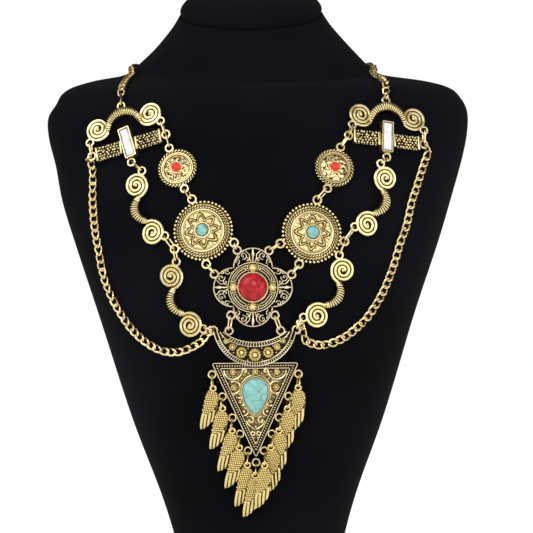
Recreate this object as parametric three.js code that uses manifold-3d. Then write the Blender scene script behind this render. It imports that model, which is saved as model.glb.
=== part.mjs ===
// A statement necklace on its plain velvet neck bust, in millimetres, +Z up, the wearer's front towards -Y.
// The bust stands on its flat base. Every ornament lies on the bust: its place is found by looking along +Y
// at the bust's surface, and its own flat plane is fitted to the surface under it.
import * as THREE from 'three';
import { mergeVertices } from 'three/addons/utils/BufferGeometryUtils.js';
import Module from 'manifold-3d';

// ---- driving dimensions ----

const BUST_SIDES = 44;
const FOOT = { x: 5, y: 8, rx: 39, ry: 32, z: 0, height: 45, sides: 28 };

const GAP = 0.4; // from the bust to the lowest point of an ornament
const STONE_GAP = 0.3; // from a stone to its setting
const LOOP_RADIUS = 1.7; // of the cast loops, to the middle of their wire
const LOOP_WIRE = 0.5; // radius of that wire
const RING_WIRE = 0.4; // radius of a jump ring's wire
const RING_PAST = 1.25; // how far a ring runs on past the middle of a wire that it holds
const RING_HALF_WIDTH = 1.4;
const RING_ROLL = 28; // degrees that a jump ring leans over from upright

const LOOP_HEIGHT = 1.3; // of a loop's middle above the flat back of its ornament

const SCROLL = { wire: 0.8, pitch: 1.75, outer: 5.75, turns: 2.75, steps: 7, height: 1.1 };
const BAR = { half: 12.9, crest: 4.5, fat: 2.4, loopU: 17.6, loopV: -5.5, topLoop: 8.2 };
const S_SCROLL = { half: 11.9, bowU: 2.9, bowRadius: 7.0, fat: 2.3 };
const CROSS = { half: 16.7, height: 6.4, low: 0.3, high: 2.5, collar: 1.7 };
const BEZEL = { halfU: 3.1, halfV: 7.8, up: 1.1, high: 3.4 }; // of the crystal, on the crossbar
const CRYSTAL = { halfU: 2.25, halfV: 6.3, base: 2.1, girdle: 3.5, table: 4.4 };
const SMALL_DISC = { radius: 9.1, loops: 10.7 };
const LARGE_DISC = { radius: 13.8, loops: 15.4 };
const MEDALLION = { lobe: 9.2, offset: 8.9, hub: 10.8, rim: 1.0, thick: 1.6, spike: 1.3 };
const PENDANT = { half: 19.9, top: 14.9, tip: -29, thick: 2.0, border: 2.4 };
const CRESCENT = { outer: 18.9, outerV: 31.95, inner: 23.9, innerV: 48.15, horn: 28.8, thick: 2.2 };
const PEAR = { radius: 5.9, v: 2.5, tip: -8.6, steps: 14 };
const EDGE_LOOP = { radius: 1.6, wire: 0.45, height: 1.1 }; // the loops that hold the wings
const WING = { thick: 0.8, loop: 1.25, wire: 0.42, lean: 9.5, roll: -12 };

const CHAIN = { pitch: 3.6, wide: 1.95, narrow: 1.2, flat: 0.75, tall: 1.0, height: 1.6, neckHeight: 2.5 };
const AXIS_Y = 20; // the upright line x = 0, y = AXIS_Y that chain routes turn about
const CLASP = { half: 5.4, radius: 2.1, height: 2.5 };

// Level sections of the bust. x is the middle, z the height at the side line, side is how far back the
// widest line lies, round is the superellipse's power and lean tips the section to the front, in degrees.
const BUST = [
  { x: -1.4, z: 0, halfWidth: 33.5, front: -38, side: -4, back: 28, round: 2.4, lean: 0 },
  { x: -1.4, z: 40, halfWidth: 44.5, front: -43, side: -2, back: 32, round: 2.3, lean: 0 },
  { x: -1.1, z: 80, halfWidth: 59.3, front: -47, side: 0, back: 36, round: 2.2, lean: 0 },
  { x: -0.7, z: 126, halfWidth: 74, front: -50.5, side: 4, back: 41, round: 2.1, lean: 0 },
  { x: 0, z: 160, halfWidth: 85.5, front: -49, side: 7, back: 44, round: 2.0, lean: 0 },
  { x: 0.3, z: 182, halfWidth: 92.3, front: -45, side: 9, back: 46, round: 1.95, lean: 0 },
  { x: 0.5, z: 199, halfWidth: 96.4, front: -39.5, side: 10.5, back: 47.5, round: 1.9, lean: 0 },
  { x: 0, z: 212, halfWidth: 99.4, front: -34, side: 12, back: 49, round: 1.9, lean: 0 },
  { x: 0, z: 222, halfWidth: 99.7, front: -29, side: 13, back: 50, round: 1.9, lean: 0 },
  { x: 0, z: 229, halfWidth: 97.3, front: -25, side: 14, back: 51, round: 1.85, lean: 0 },
  { x: -1.5, z: 233.5, halfWidth: 94, front: -22.5, side: 15, back: 52, round: 1.8, lean: 2 },
  { x: -4, z: 237, halfWidth: 85, front: -20, side: 17, back: 53, round: 1.75, lean: 5 },
  { x: -4.5, z: 240, halfWidth: 69, front: -17.5, side: 20, back: 52.4, round: 1.8, lean: 8 },
  { x: -1.8, z: 247, halfWidth: 55.3, front: -14, side: 22, back: 52.9, round: 1.9, lean: 12 },
  { x: -1.0, z: 255, halfWidth: 46.5, front: -11, side: 23, back: 53.4, round: 2.0, lean: 15 },
  { x: -1.0, z: 264, halfWidth: 38.7, front: -9, side: 23, back: 53.4, round: 2.0, lean: 18 },
  { x: -1.0, z: 271, halfWidth: 34.2, front: -9, side: 23, back: 53.4, round: 2.0, lean: 18 },
];

// ---- small tools ----

const wasm = await Module();
wasm.setup();

const rad = THREE.MathUtils.degToRad;
const polar = (radius, degrees) => [radius * Math.cos(rad(degrees)), radius * Math.sin(rad(degrees))];

// A closed triangle mesh from rows of points: neighbouring rows are joined, the ends are closed with fans.
function skin(rows, ringClosed) {
  const sides = rows[0].length;
  const positions = rows.flat().flatMap((p) => [p.x, p.y, p.z]);
  const faces = [];
  const last = ringClosed ? rows.length : rows.length - 1;
  for (let r = 0; r < last; r++) {
    for (let s = 0; s < sides; s++) {
      const a = r * sides + s;
      const b = r * sides + ((s + 1) % sides);
      const c = ((r + 1) % rows.length) * sides + s;
      const d = ((r + 1) % rows.length) * sides + ((s + 1) % sides);
      faces.push(a, b, d, a, d, c);
    }
  }
  if (!ringClosed) {
    const top = (rows.length - 1) * sides;
    for (let s = 1; s < sides - 1; s++) {
      faces.push(0, s + 1, s, top, top + s, top + s + 1);
    }
  }
  const geometry = new THREE.BufferGeometry();
  geometry.setAttribute('position', new THREE.Float32BufferAttribute(positions, 3));
  geometry.setIndex(faces);
  return geometry;
}

// A tube through points. Its section is an ellipse with one radius across and one along the given normals.
function sweep(points, normals, across, along, sides, closed = false) {
  const rows = points.map((point, i) => {
    const before = points[closed ? (i + points.length - 1) % points.length : Math.max(i - 1, 0)];
    const after = points[closed ? (i + 1) % points.length : Math.min(i + 1, points.length - 1)];
    const tangent = after.clone().sub(before).normalize();
    const normal = normals[i].clone().addScaledVector(tangent, -normals[i].dot(tangent)).normalize();
    const side = new THREE.Vector3().crossVectors(normal, tangent);
    const row = [];
    for (let s = 0; s < sides; s++) {
      const angle = (2 * Math.PI * (s + 0.5)) / sides - Math.PI / 2;
      row.push(point.clone()
        .addScaledVector(side, across[i] * Math.cos(angle))
        .addScaledVector(normal, along[i] * Math.sin(angle)));
    }
    return row;
  });
  return skin(rows, closed);
}

// A flat outline of [u, v] points, w from low to high.
function plate(outline, low, high, holes = []) {
  const shape = new THREE.Shape(outline.map(([u, v]) => new THREE.Vector2(u, v)));
  shape.holes = holes.map((hole) => new THREE.Path(hole.map(([u, v]) => new THREE.Vector2(u, v))));
  const geometry = new THREE.ExtrudeGeometry(shape, { depth: high - low, bevelEnabled: false });
  return geometry.translate(0, 0, low);
}

// A turned body about the w axis from [radius, w] points that start and end on the axis.
function turned(profile, segments, u = 0, v = 0) {
  const points = profile.map(([r, w]) => new THREE.Vector2(r, w));
  return new THREE.LatheGeometry(points, segments).rotateX(Math.PI / 2).translate(u, v, 0);
}

const arc = (cu, cv, radius, from, to, steps) => Array.from({ length: steps + 1 }, (_, i) => {
  const [u, v] = polar(radius, from + ((to - from) * i) / steps);
  return [cu + u, cv + v];
});

const circle = (radius, steps, cu = 0, cv = 0) => arc(cu, cv, radius, 0, 360 - 360 / steps, steps - 1);

function toManifold(geometry) {
  const bare = new THREE.BufferGeometry();
  bare.setAttribute('position', geometry.getAttribute('position').clone());
  if (geometry.index) bare.setIndex(geometry.index.clone());
  const merged = mergeVertices(bare, 1e-4);
  return new wasm.Manifold(new wasm.Mesh({
    numProp: 3,
    vertProperties: new Float32Array(merged.attributes.position.array),
    triVerts: new Uint32Array(merged.index.array),
  }));
}

function toGeometry(solid) {
  const mesh = solid.getMesh();
  const geometry = new THREE.BufferGeometry();
  geometry.setAttribute('position', new THREE.Float32BufferAttribute(mesh.vertProperties, 3));
  geometry.setIndex(new THREE.Uint32BufferAttribute(mesh.triVerts, 1));
  return geometry;
}

const joined = (...geometries) => toGeometry(
  geometries.map(toManifold).reduce((whole, next) => whole.add(next)),
);

const cutBy = (geometry, ...cutters) => toGeometry(
  cutters.map(toManifold).reduce((rest, cutter) => rest.subtract(cutter), toManifold(geometry)),
);

// ---- materials ----

const metal = (color, roughness) => new THREE.MeshStandardMaterial({ color, roughness, metalness: 1 });
const MATERIALS = {
  velvet: new THREE.MeshStandardMaterial({ color: 0x0b0b0e, roughness: 0.95, metalness: 0 }),
  gold: metal(0xc9a24d, 0.32),
  antique: metal(0xb0955a, 0.4),
  wing: metal(0xd9a544, 0.36),
  chain: metal(0xd4ad5e, 0.28),
  turquoise: new THREE.MeshStandardMaterial({ color: 0x7fc9c2, roughness: 0.35, metalness: 0 }),
  red: new THREE.MeshStandardMaterial({ color: 0xb41820, roughness: 0.25, metalness: 0 }),
  coral: new THREE.MeshStandardMaterial({ color: 0xe23a2c, roughness: 0.35, metalness: 0 }),
  crystal: new THREE.MeshStandardMaterial({ color: 0xf2f2f6, roughness: 0.08, metalness: 0 }),
};

const necklace = new THREE.Group();

function addMesh(name, geometry, material, place) {
  const mesh = new THREE.Mesh(geometry, MATERIALS[material]);
  mesh.name = name;
  if (place) {
    mesh.position.copy(place.origin);
    mesh.quaternion.setFromRotationMatrix(new THREE.Matrix4().makeBasis(place.u, place.v, place.w));
  }
  necklace.add(mesh);
  return mesh;
}

// ---- the neck bust ----

// One section: a superellipse whose front and back halves have their own depth, tipped by its lean.
function bustRow({ x: middle, z, halfWidth, front, side, back, round, lean }) {
  const row = [];
  for (let s = 0; s < BUST_SIDES; s++) {
    const angle = (2 * Math.PI * s) / BUST_SIDES;
    const power = (value) => Math.sign(value) * Math.abs(value) ** (2 / round);
    const x = middle + halfWidth * power(Math.cos(angle));
    const depth = Math.sin(angle) < 0 ? side - front : back - side;
    const y = side + depth * power(Math.sin(angle));
    row.push(new THREE.Vector3(x, y, z + (y - side) * Math.tan(rad(lean))));
  }
  return row;
}

const foot = new THREE.CylinderGeometry(0.94, 1, FOOT.height, FOOT.sides).rotateX(Math.PI / 2);
foot.scale(FOOT.rx, FOOT.ry, 1).translate(FOOT.x, FOOT.y, FOOT.z + FOOT.height / 2);
const bustGeometry = joined(skin(BUST.map(bustRow), false), foot);
const bust = addMesh('neck_bust', bustGeometry, 'velvet');
bust.updateMatrixWorld();

// ---- finding places on the bust ----

const caster = new THREE.Raycaster();

function hit(from, direction) {
  caster.set(from, direction);
  const found = caster.intersectObject(bust)[0];
  if (!found) throw new Error(`no bust at ${from.toArray()}`);
  return found.point;
}

const touch = (x, z) => hit(new THREE.Vector3(x, -300, z), new THREE.Vector3(0, 1, 0));

// The plane on which a flat ornament rests: middle at (x, z), half sizes reachU and reachV, turned by tilt
// degrees anticlockwise as seen from the front, leaning its top outwards by lean degrees.
function seat({ x, z, tilt = 0, lean = 0, lift = 0, reachU, reachV }) {
  const samples = [touch(x, z)];
  for (const share of [0.5, 1]) {
    for (let k = 0; k < 12; k++) {
      const [c, s] = polar(share, 30 * k);
      const [ct, st] = polar(1, tilt);
      const du = c * reachU * ct - s * reachV * st;
      const dv = c * reachU * st + s * reachV * ct;
      samples.push(touch(x + du, z + dv));
    }
  }
  const rim = samples.slice(-12);
  const middle = rim.reduce((sum, p) => sum.add(p), new THREE.Vector3()).divideScalar(rim.length);
  let [xx, xz, zz, xy, zy] = [0, 0, 0, 0, 0];
  for (const p of rim) {
    const d = p.clone().sub(middle);
    xx += d.x * d.x;
    xz += d.x * d.z;
    zz += d.z * d.z;
    xy += d.x * d.y;
    zy += d.z * d.y;
  }
  const det = xx * zz - xz * xz;
  const w = new THREE.Vector3((xy * zz - zy * xz) / det, -1, (zy * xx - xy * xz) / det).normalize();
  const up = new THREE.Vector3(0, 0, 1);
  const v = up.addScaledVector(w, -up.dot(w)).normalize().applyAxisAngle(w, rad(tilt));
  const u = new THREE.Vector3().crossVectors(v, w);
  v.applyAxisAngle(u, rad(lean));
  w.applyAxisAngle(u, rad(lean));
  const centre = samples[0];
  const highest = Math.max(...samples.map((p) => p.clone().sub(centre).dot(w)));
  const origin = centre.clone().addScaledVector(w, highest + GAP + lift);
  return { origin, u, v, w };
}

const at = (place, u, v, w) => place.origin.clone()
  .addScaledVector(place.u, u).addScaledVector(place.v, v).addScaledVector(place.w, w);

// ---- loops and jump rings ----

// A cast loop in the plane of its ornament.
function loop([u, v], w = LOOP_HEIGHT, radius = LOOP_RADIUS, wire = LOOP_WIRE) {
  return new THREE.TorusGeometry(radius, wire, 3, 8).translate(u, v, w);
}

// The points of a long round in a plane, which is straight in the middle.
function oval(halfLength, halfWidth, steps) {
  const straight = Math.max(halfLength - halfWidth, 0);
  return Array.from({ length: steps }, (_, i) => {
    const [c, s] = polar(1, ((i + 0.5) * 360) / steps);
    return [Math.sign(c) * straight + (halfLength - straight) * c, halfWidth * s];
  });
}

// The direction t from a to b, and w at right angles to it, outwards but leaning over by roll degrees.
function ringFrame(a, b, outward, roll) {
  const t = b.clone().sub(a).normalize();
  const w = outward.clone().addScaledVector(t, -outward.dot(t)).normalize().applyAxisAngle(t, rad(roll));
  return { t, w };
}

// The point of a loop's wire that lies nearest to target. The loop lies in the plane of place.
function wirePoint(place, middle, target, radius = LOOP_RADIUS) {
  const way = target.clone().sub(middle);
  way.addScaledVector(place.w, -way.dot(place.w)).normalize();
  return middle.clone().addScaledVector(way, radius);
}

// A jump ring that holds wires at a and b; it leans by roll degrees about the line a-b.
function ringGeometry(a, b, outward, roll, pastA = RING_PAST, pastB = RING_PAST) {
  const { t, w } = ringFrame(a, b, outward, roll);
  const from = a.clone().addScaledVector(t, -pastA);
  const to = b.clone().addScaledVector(t, pastB);
  const middle = from.clone().add(to).multiplyScalar(0.5);
  const points = oval(from.distanceTo(to) / 2, RING_HALF_WIDTH, 8)
    .map(([l, h]) => middle.clone().addScaledVector(t, l).addScaledVector(w, h));
  const normal = new THREE.Vector3().crossVectors(t, w);
  const radii = points.map(() => RING_WIRE);
  return sweep(points, points.map(() => normal), radii, radii, 3, true);
}

// ---- scrolls ----

const UPRIGHT = new THREE.Vector3(0, 0, 1);

// A flat spiral of wire about (u, v) from its outer end inwards; hand is 1 for anticlockwise.
function spiral(u, v, from, hand) {
  const steps = Math.round(SCROLL.turns * SCROLL.steps);
  const points = Array.from({ length: steps + 1 }, (_, i) => {
    const turn = i / SCROLL.steps;
    const [du, dv] = polar(SCROLL.outer - SCROLL.pitch * turn, from + hand * 360 * turn);
    return new THREE.Vector3(u + du, v + dv, SCROLL.height);
  });
  const radii = points.map(() => SCROLL.wire);
  return sweep(points, points.map(() => UPRIGHT), radii, radii, 3);
}

// A bent rod that is fat in the middle and thin at both ends, wound with wire.
function woundRod(points, fat) {
  const radii = points.map((_, i) => SCROLL.wire + (fat - SCROLL.wire)
    * Math.sin((Math.PI * i) / (points.length - 1)) ** 0.8);
  const middle = points.map(([u, v], i) => new THREE.Vector3(u, v, Math.max(radii[i], SCROLL.height)));
  return sweep(middle, middle.map(() => UPRIGHT), radii, radii, 6);
}

// The arched bar: a wound arch whose ends run on under a scroll on either side.
function scrollBar() {
  const arch = [[-8.4, -3.2], [-7.2, 0.4], [-4.3, 3.2], [0, BAR.crest], [4.3, 3.2], [7.2, 0.4], [8.4, -3.2]];
  return joined(
    woundRod(arch, BAR.fat),
    spiral(BAR.half, 0, 215, 1),
    spiral(-BAR.half, 0, -35, -1),
    loop([0, BAR.topLoop]),
    loop([BAR.loopU, BAR.loopV]),
    loop([-BAR.loopU, BAR.loopV]),
  );
}

const BAR_LOOPS = { top: [0, BAR.topLoop], right: [BAR.loopU, BAR.loopV], left: [-BAR.loopU, BAR.loopV] };

// The S scroll: a scroll at each end of a wound bow; hand -1 is the mirror image.
function sScrollLoops(hand) {
  const [topU, topV] = polar(7.15, 45);
  const [endU, endV] = polar(6.7, -37);
  return {
    top: [hand * topU, S_SCROLL.half + topV],
    end: [hand * endU, endV - S_SCROLL.half],
  };
}

function sScroll(hand) {
  const bow = arc(S_SCROLL.bowU, 0, S_SCROLL.bowRadius, 118, 243, 7).map(([u, v]) => [hand * u, v]);
  const loops = sScrollLoops(hand);
  return joined(
    woundRod(bow, S_SCROLL.fat),
    spiral(0, S_SCROLL.half, hand > 0 ? -95 : 275, hand),
    spiral(0, -S_SCROLL.half, hand > 0 ? 100 : 80, -hand),
    loop(loops.top),
    loop(loops.end),
  );
}

// ---- crossbars with a crystal ----

const box = (u0, u1, v0, v1, low, high) => plate([[u0, v0], [u1, v0], [u1, v1], [u0, v1]], low, high);

const CROSS_LOOPS = {
  right: [CROSS.half + 2.0, 0],
  left: [-CROSS.half - 2.0, 0],
  bottom: [0, BEZEL.up - BEZEL.halfV - 1.6],
};

function crossBar() {
  const h = CROSS.height / 2;
  const collars = [-1, 1].flatMap((side) => [CROSS.half - CROSS.collar, BEZEL.halfU].map((u) => {
    const [u0, u1] = side > 0 ? [u, u + CROSS.collar] : [-u - CROSS.collar, -u];
    return box(u0, u1, -h - 0.1, h + 0.1, 0, CROSS.high + 0.4);
  }));
  const body = joined(
    box(-CROSS.half, CROSS.half, -h, h, CROSS.low, CROSS.high),
    ...collars,
    box(-BEZEL.halfU, BEZEL.halfU, BEZEL.up - BEZEL.halfV, BEZEL.up + BEZEL.halfV, 0, BEZEL.high),
    loop(CROSS_LOOPS.right, LOOP_HEIGHT, LOOP_RADIUS + 0.1),
    loop(CROSS_LOOPS.left, LOOP_HEIGHT, LOOP_RADIUS + 0.1),
    loop(CROSS_LOOPS.bottom),
  );
  const cu = CRYSTAL.halfU + STONE_GAP;
  const cv = CRYSTAL.halfV + STONE_GAP;
  return cutBy(body, box(-cu, cu, BEZEL.up - cv, BEZEL.up + cv, CRYSTAL.base - STONE_GAP, 5));
}

// A long stone with a flat table and sloping edges.
function crystal() {
  const level = (inset, w) => {
    const [u, v] = [CRYSTAL.halfU - inset, CRYSTAL.halfV - inset];
    return [[-u, -v], [u, -v], [u, v], [-u, v]].map(([a, b]) => new THREE.Vector3(a, b + BEZEL.up, w));
  };
  return skin([level(0.5, CRYSTAL.base), level(0, CRYSTAL.girdle), level(0.7, CRYSTAL.table)], false);
}

// ---- round ornaments ----

const discLoops = (radius, angles) => Object.fromEntries(
  Object.entries(angles).map(([name, degrees]) => [name, polar(radius, degrees)]),
);

const dome = (radius, base, girdle, top, segments, steps = 3) => turned([
  [0, base], [radius * 0.92, base],
  ...Array.from({ length: steps }, (_, i) => {
    const [c, s] = polar(1, (90 * i) / steps);
    return [radius * c, girdle + (top - girdle) * s];
  }),
  [0, top],
], segments);

function smallDisc(loops) {
  const profile = [[0, 0], [8.4, 0], [9.1, 0.9], [8.4, 1.9], [7.6, 1.3], [6.9, 1.7], [2.9, 2.9], [2.55, 2.0],
    [0, 2.0]];
  return joined(turned(profile, 20), ...Object.values(loops).map((place) => loop(place)));
}

function largeDisc(loops) {
  const profile = [[0, 0], [13, 0], [13.8, 1.0], [13, 2.0], [11.4, 1.6], [10.6, 2.5], [9.9, 2.3], [6.6, 3.5],
    [3.6, 4.1], [3.15, 3.1], [0, 3.1]];
  return joined(turned(profile, 24), ...Object.values(loops).map((place) => loop(place, LOOP_HEIGHT, 1.8)));
}

// ---- the medallion ----

const MEDALLION_LOOPS = {
  topLeft: [-7.0, 16.7],
  topRight: [7.2, 16.5],
  left: [-17.3, 6.0],
  right: [17.4, 5.8],
  bottomLeft: [-9.9, -12.5],
  bottomRight: [9.9, -12.5],
};

// A quatrefoil plate: each lobe is pierced on both sides of a spike, and the hub carries a stone's setting.
function medallion() {
  const { lobe, offset, hub, rim, thick, spike } = MEDALLION;
  const ways = [0, 90, 180, 270];
  const centres = ways.map((degrees) => polar(offset, degrees));
  const hubProfile = [[0, 0], [hub - 0.3, 0], [hub, 0.8], [hub - 0.3, 1.9], [9.6, 1.7], [7.9, 2.2],
    [7.5, 4.2], [6.75, 4.2], [6.6, 2.2], [0, 2.2]];
  const windows = centres.map(([u, v], i) => {
    const [du, dv] = polar(20, ways[i]);
    const [nu, nv] = polar(spike / 2, ways[i] + 90);
    const bar = plate([[nu, nv], [-nu, -nv], [du - nu, dv - nv], [du + nu, dv + nv]], -2, 8);
    const lobeHole = plate(circle(lobe - rim, 12, u, v), -1, 7);
    return cutBy(lobeHole, plate(circle(hub - 0.5, 18), -3, 9), bar);
  });
  const body = joined(
    ...centres.map(([u, v]) => plate(circle(lobe, 16, u, v), 0.2, thick)),
  );
  const florets = ways.map((degrees) => {
    const [u, v] = polar(9.2, degrees);
    return turned([[0, 1], [1.4, 1], [1.2, 2.6], [0, 3.1]], 6, u, v);
  });
  return joined(
    cutBy(body, ...windows),
    turned(hubProfile, 18),
    ...florets,
    ...Object.values(MEDALLION_LOOPS).map((place) => loop(place)),
  );
}

// ---- the pendant: a crescent soldered over a triangle ----

const EDGE_ROWS = [9.45, -0.6, -10.2, -17.6, -25.3]; // heights of the wing loops along the slanting edges

function edgeLoop(v, side) {
  const share = (PENDANT.top - v) / (PENDANT.top - PENDANT.tip);
  return [side * (PENDANT.half * (1 - share) + 1.95), v];
}

const PENDANT_LOOPS = {
  hornLeft: [-18.6, 29.4],
  hornRight: [18.6, 29.4],
  topLeft: [-11.6, 29.1],
  topRight: [11.6, 29.1],
};

const WING_LOOPS = [
  ...EDGE_ROWS.map((v) => edgeLoop(v, -1)),
  [0, PENDANT.tip - 1.6],
  ...EDGE_ROWS.map((v) => edgeLoop(v, 1)).reverse(),
];

// The outline of the pear stone, grown by some way all round.
function pearOutline(grow) {
  const round = arc(0, PEAR.v, PEAR.radius + grow, -22, 202, PEAR.steps);
  return [...round, [-1.0 - grow * 0.6, PEAR.tip + 1.0 - grow * 0.6], [0, PEAR.tip - grow * 1.3],
    [1.0 + grow * 0.6, PEAR.tip + 1.0 - grow * 0.6]];
}

function crescentOutline() {
  const { outer, outerV, inner, innerV, horn } = CRESCENT;
  const outerEnd = THREE.MathUtils.radToDeg(Math.asin((horn - outerV) / outer));
  const innerEnd = THREE.MathUtils.radToDeg(Math.asin((horn - innerV) / inner));
  return [
    ...arc(0, outerV, outer, -180 - outerEnd, outerEnd, 20),
    ...arc(0, innerV, inner, innerEnd, -180 - innerEnd, 12),
  ];
}

function pendant() {
  const { half, top, tip, thick, border } = PENDANT;
  const inset = [[-half + 4.2, top - border], [half - 4.2, top - border], [0, tip + 6]];
  const triangle = plate([[-half, top], [0, tip], [half, top]], 0, thick + 0.4);
  const base = cutBy(triangle, plate(inset, thick - 0.3, 9));
  const florets = [-28, -19, -10, 0, 10, 19, 28].map((turn, i) => {
    const size = [1.2, 1.65, 2.5, 3.0, 2.5, 1.65, 1.2][i];
    const [u, v] = polar(15.3, -90 + turn * 1.9);
    return turned([[0, 1], [size, 1], [size * 0.8, CRESCENT.thick + 0.7], [0, CRESCENT.thick + 1.1]], 7,
      u, v + CRESCENT.outerV + 1.6 * Math.abs(turn / 28));
  });
  const setting = cutBy(plate(pearOutline(0.85), 1, 3.7), plate(pearOutline(STONE_GAP), 2.0, 9));
  return joined(
    base,
    setting,
    plate(crescentOutline(), 0, CRESCENT.thick),
    ...florets,
    ...Object.values(PENDANT_LOOPS).map((place) => loop(place)),
    ...WING_LOOPS.map((place) => loop(place, EDGE_LOOP.height, EDGE_LOOP.radius, EDGE_LOOP.wire)),
  );
}

// The pear stone: levels of its outline that shrink to a rounded top.
function pearStone() {
  const level = (scale, w) => pearOutline(0)
    .map(([u, v]) => new THREE.Vector3(u * scale, v * scale, w));
  return skin([level(0.93, 2.3), level(1, 3.0), level(0.9, 4.4), level(0.6, 5.4), level(0.25, 5.75)], false);
}

// ---- wings ----

const WING_OUTLINE = [
  [-1.5, -1.2], [-2.3, -3.4], [-2.4, -6.2], [-2.0, -10.5], [-1.7, -15.2], [-1.3, -20.2], [-0.3, -21.1],
  [0.8, -20.3], [1.6, -19.1], [2.5, -17.5], [3.4, -14.8], [3.7, -9.0], [3.7, -4.6], [3.0, -2.2], [1.4, -1.2],
];

// One wing with its own jump ring, which holds the wire of the pendant's loop at reach, in the wing's frame.
function wing(reach) {
  const middle = new THREE.Vector3(0, 0, WING.thick / 2);
  const own = wirePoint({ w: UPRIGHT }, middle, reach, WING.loop);
  const ring = ringGeometry(reach, own, UPRIGHT, WING.roll, EDGE_LOOP.radius - 0.4, WING.loop - 0.5);
  return joined(
    plate(WING_OUTLINE, 0, WING.thick),
    loop([0, 0], WING.thick / 2, WING.loop, WING.wire),
    ring,
  );
}

// ---- where each ornament lies ----

const ORNAMENTS = [
  { name: 'scroll_bar_left', x: -59.9, z: 217.4, tilt: 15.9, reachU: 15, reachV: 6 },
  { name: 'scroll_bar_right', x: 60.5, z: 217.4, tilt: -4.7, reachU: 15, reachV: 6 },
  { name: 'cross_bar_left', x: -57.4, z: 206.3, tilt: 14.3, reachU: 16, reachV: 5 },
  { name: 'cross_bar_right', x: 59.6, z: 206.6, tilt: -6.6, reachU: 16, reachV: 5 },
  { name: 'small_disc_left', x: -35.3, z: 195.0, tilt: 0, reachU: 8.5, reachV: 8.5 },
  { name: 'small_disc_right', x: 35.4, z: 193.8, tilt: 0, reachU: 8.5, reachV: 8.5 },
  { name: 'large_disc_left', x: -23.9, z: 166.5, tilt: 0, reachU: 13, reachV: 13 },
  { name: 'large_disc_right', x: 24.5, z: 164.5, tilt: 0, reachU: 13, reachV: 13 },
  { name: 's_scroll_upper_left', x: -50.4, z: 177.0, tilt: 22.6, reachU: 5, reachV: 16 },
  { name: 's_scroll_lower_left', x: -34.7, z: 135.3, tilt: 21.7, reachU: 5, reachV: 16 },
  { name: 's_scroll_upper_right', x: 54.1, z: 178.5, tilt: -27.9, reachU: 5, reachV: 16 },
  { name: 's_scroll_lower_right', x: 32.1, z: 137.5, tilt: -31.9, reachU: 5, reachV: 16 },
  { name: 'medallion', x: -2.2, z: 140.7, tilt: -1, reachU: 17, reachV: 17 },
  { name: 'pendant', x: -2.0, z: 92.4, tilt: -0.6, reachU: 15, reachV: 25 },
];

const places = Object.fromEntries(ORNAMENTS.map((row) => [row.name, seat(row)]));

const SMALL_LEFT = discLoops(SMALL_DISC.loops, { top: 114, bottom: -68 });
const SMALL_RIGHT = discLoops(SMALL_DISC.loops, { top: 69, bottom: 247 });
const LARGE_LEFT = discLoops(LARGE_DISC.loops, { top: 110, side: 212, inner: -22, bottom: -84 });
const LARGE_RIGHT = discLoops(LARGE_DISC.loops, { top: 78, side: -15, inner: 197, bottom: 245 });
const S_LEFT = sScrollLoops(1);
const S_RIGHT = sScrollLoops(-1);

const LOOPS = {
  scroll_bar_left: BAR_LOOPS,
  scroll_bar_right: BAR_LOOPS,
  cross_bar_left: CROSS_LOOPS,
  cross_bar_right: CROSS_LOOPS,
  small_disc_left: SMALL_LEFT,
  small_disc_right: SMALL_RIGHT,
  large_disc_left: LARGE_LEFT,
  large_disc_right: LARGE_RIGHT,
  s_scroll_upper_left: S_LEFT,
  s_scroll_lower_left: S_LEFT,
  s_scroll_upper_right: S_RIGHT,
  s_scroll_lower_right: S_RIGHT,
  medallion: MEDALLION_LOOPS,
  pendant: PENDANT_LOOPS,
};

const loopAt = ([piece, name]) => {
  const [u, v] = LOOPS[piece][name];
  return at(places[piece], u, v, LOOP_HEIGHT);
};

for (const side of ['left', 'right']) {
  const hand = side === 'left' ? 1 : -1;
  addMesh(`scroll_bar_${side}`, scrollBar(), 'gold', places[`scroll_bar_${side}`]);
  addMesh(`cross_bar_${side}`, crossBar(), 'antique', places[`cross_bar_${side}`]);
  addMesh(`crystal_${side}`, crystal(), 'crystal', places[`cross_bar_${side}`]);
  const [small, large] = [`small_disc_${side}`, `large_disc_${side}`];
  addMesh(small, smallDisc(LOOPS[small]), 'gold', places[small]);
  addMesh(`coral_bead_${side}`, dome(2.2, 2.3, 2.7, 4.7, 12), 'coral', places[small]);
  addMesh(large, largeDisc(LOOPS[large]), 'gold', places[large]);
  addMesh(`turquoise_${side}`, dome(2.8, 3.4, 3.8, 5.6, 14), 'turquoise', places[large]);
  addMesh(`s_scroll_upper_${side}`, sScroll(hand), 'gold', places[`s_scroll_upper_${side}`]);
  addMesh(`s_scroll_lower_${side}`, sScroll(hand), 'gold', places[`s_scroll_lower_${side}`]);
}
addMesh('medallion', medallion(), 'antique', places.medallion);
addMesh('red_cabochon', dome(6.25, 2.5, 3.6, 7.2, 20, 4), 'red', places.medallion);
addMesh('pendant', pendant(), 'antique', places.pendant);
addMesh('pear_stone', pearStone(), 'turquoise', places.pendant);

// ---- the wings on the pendant's edges ----

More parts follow.
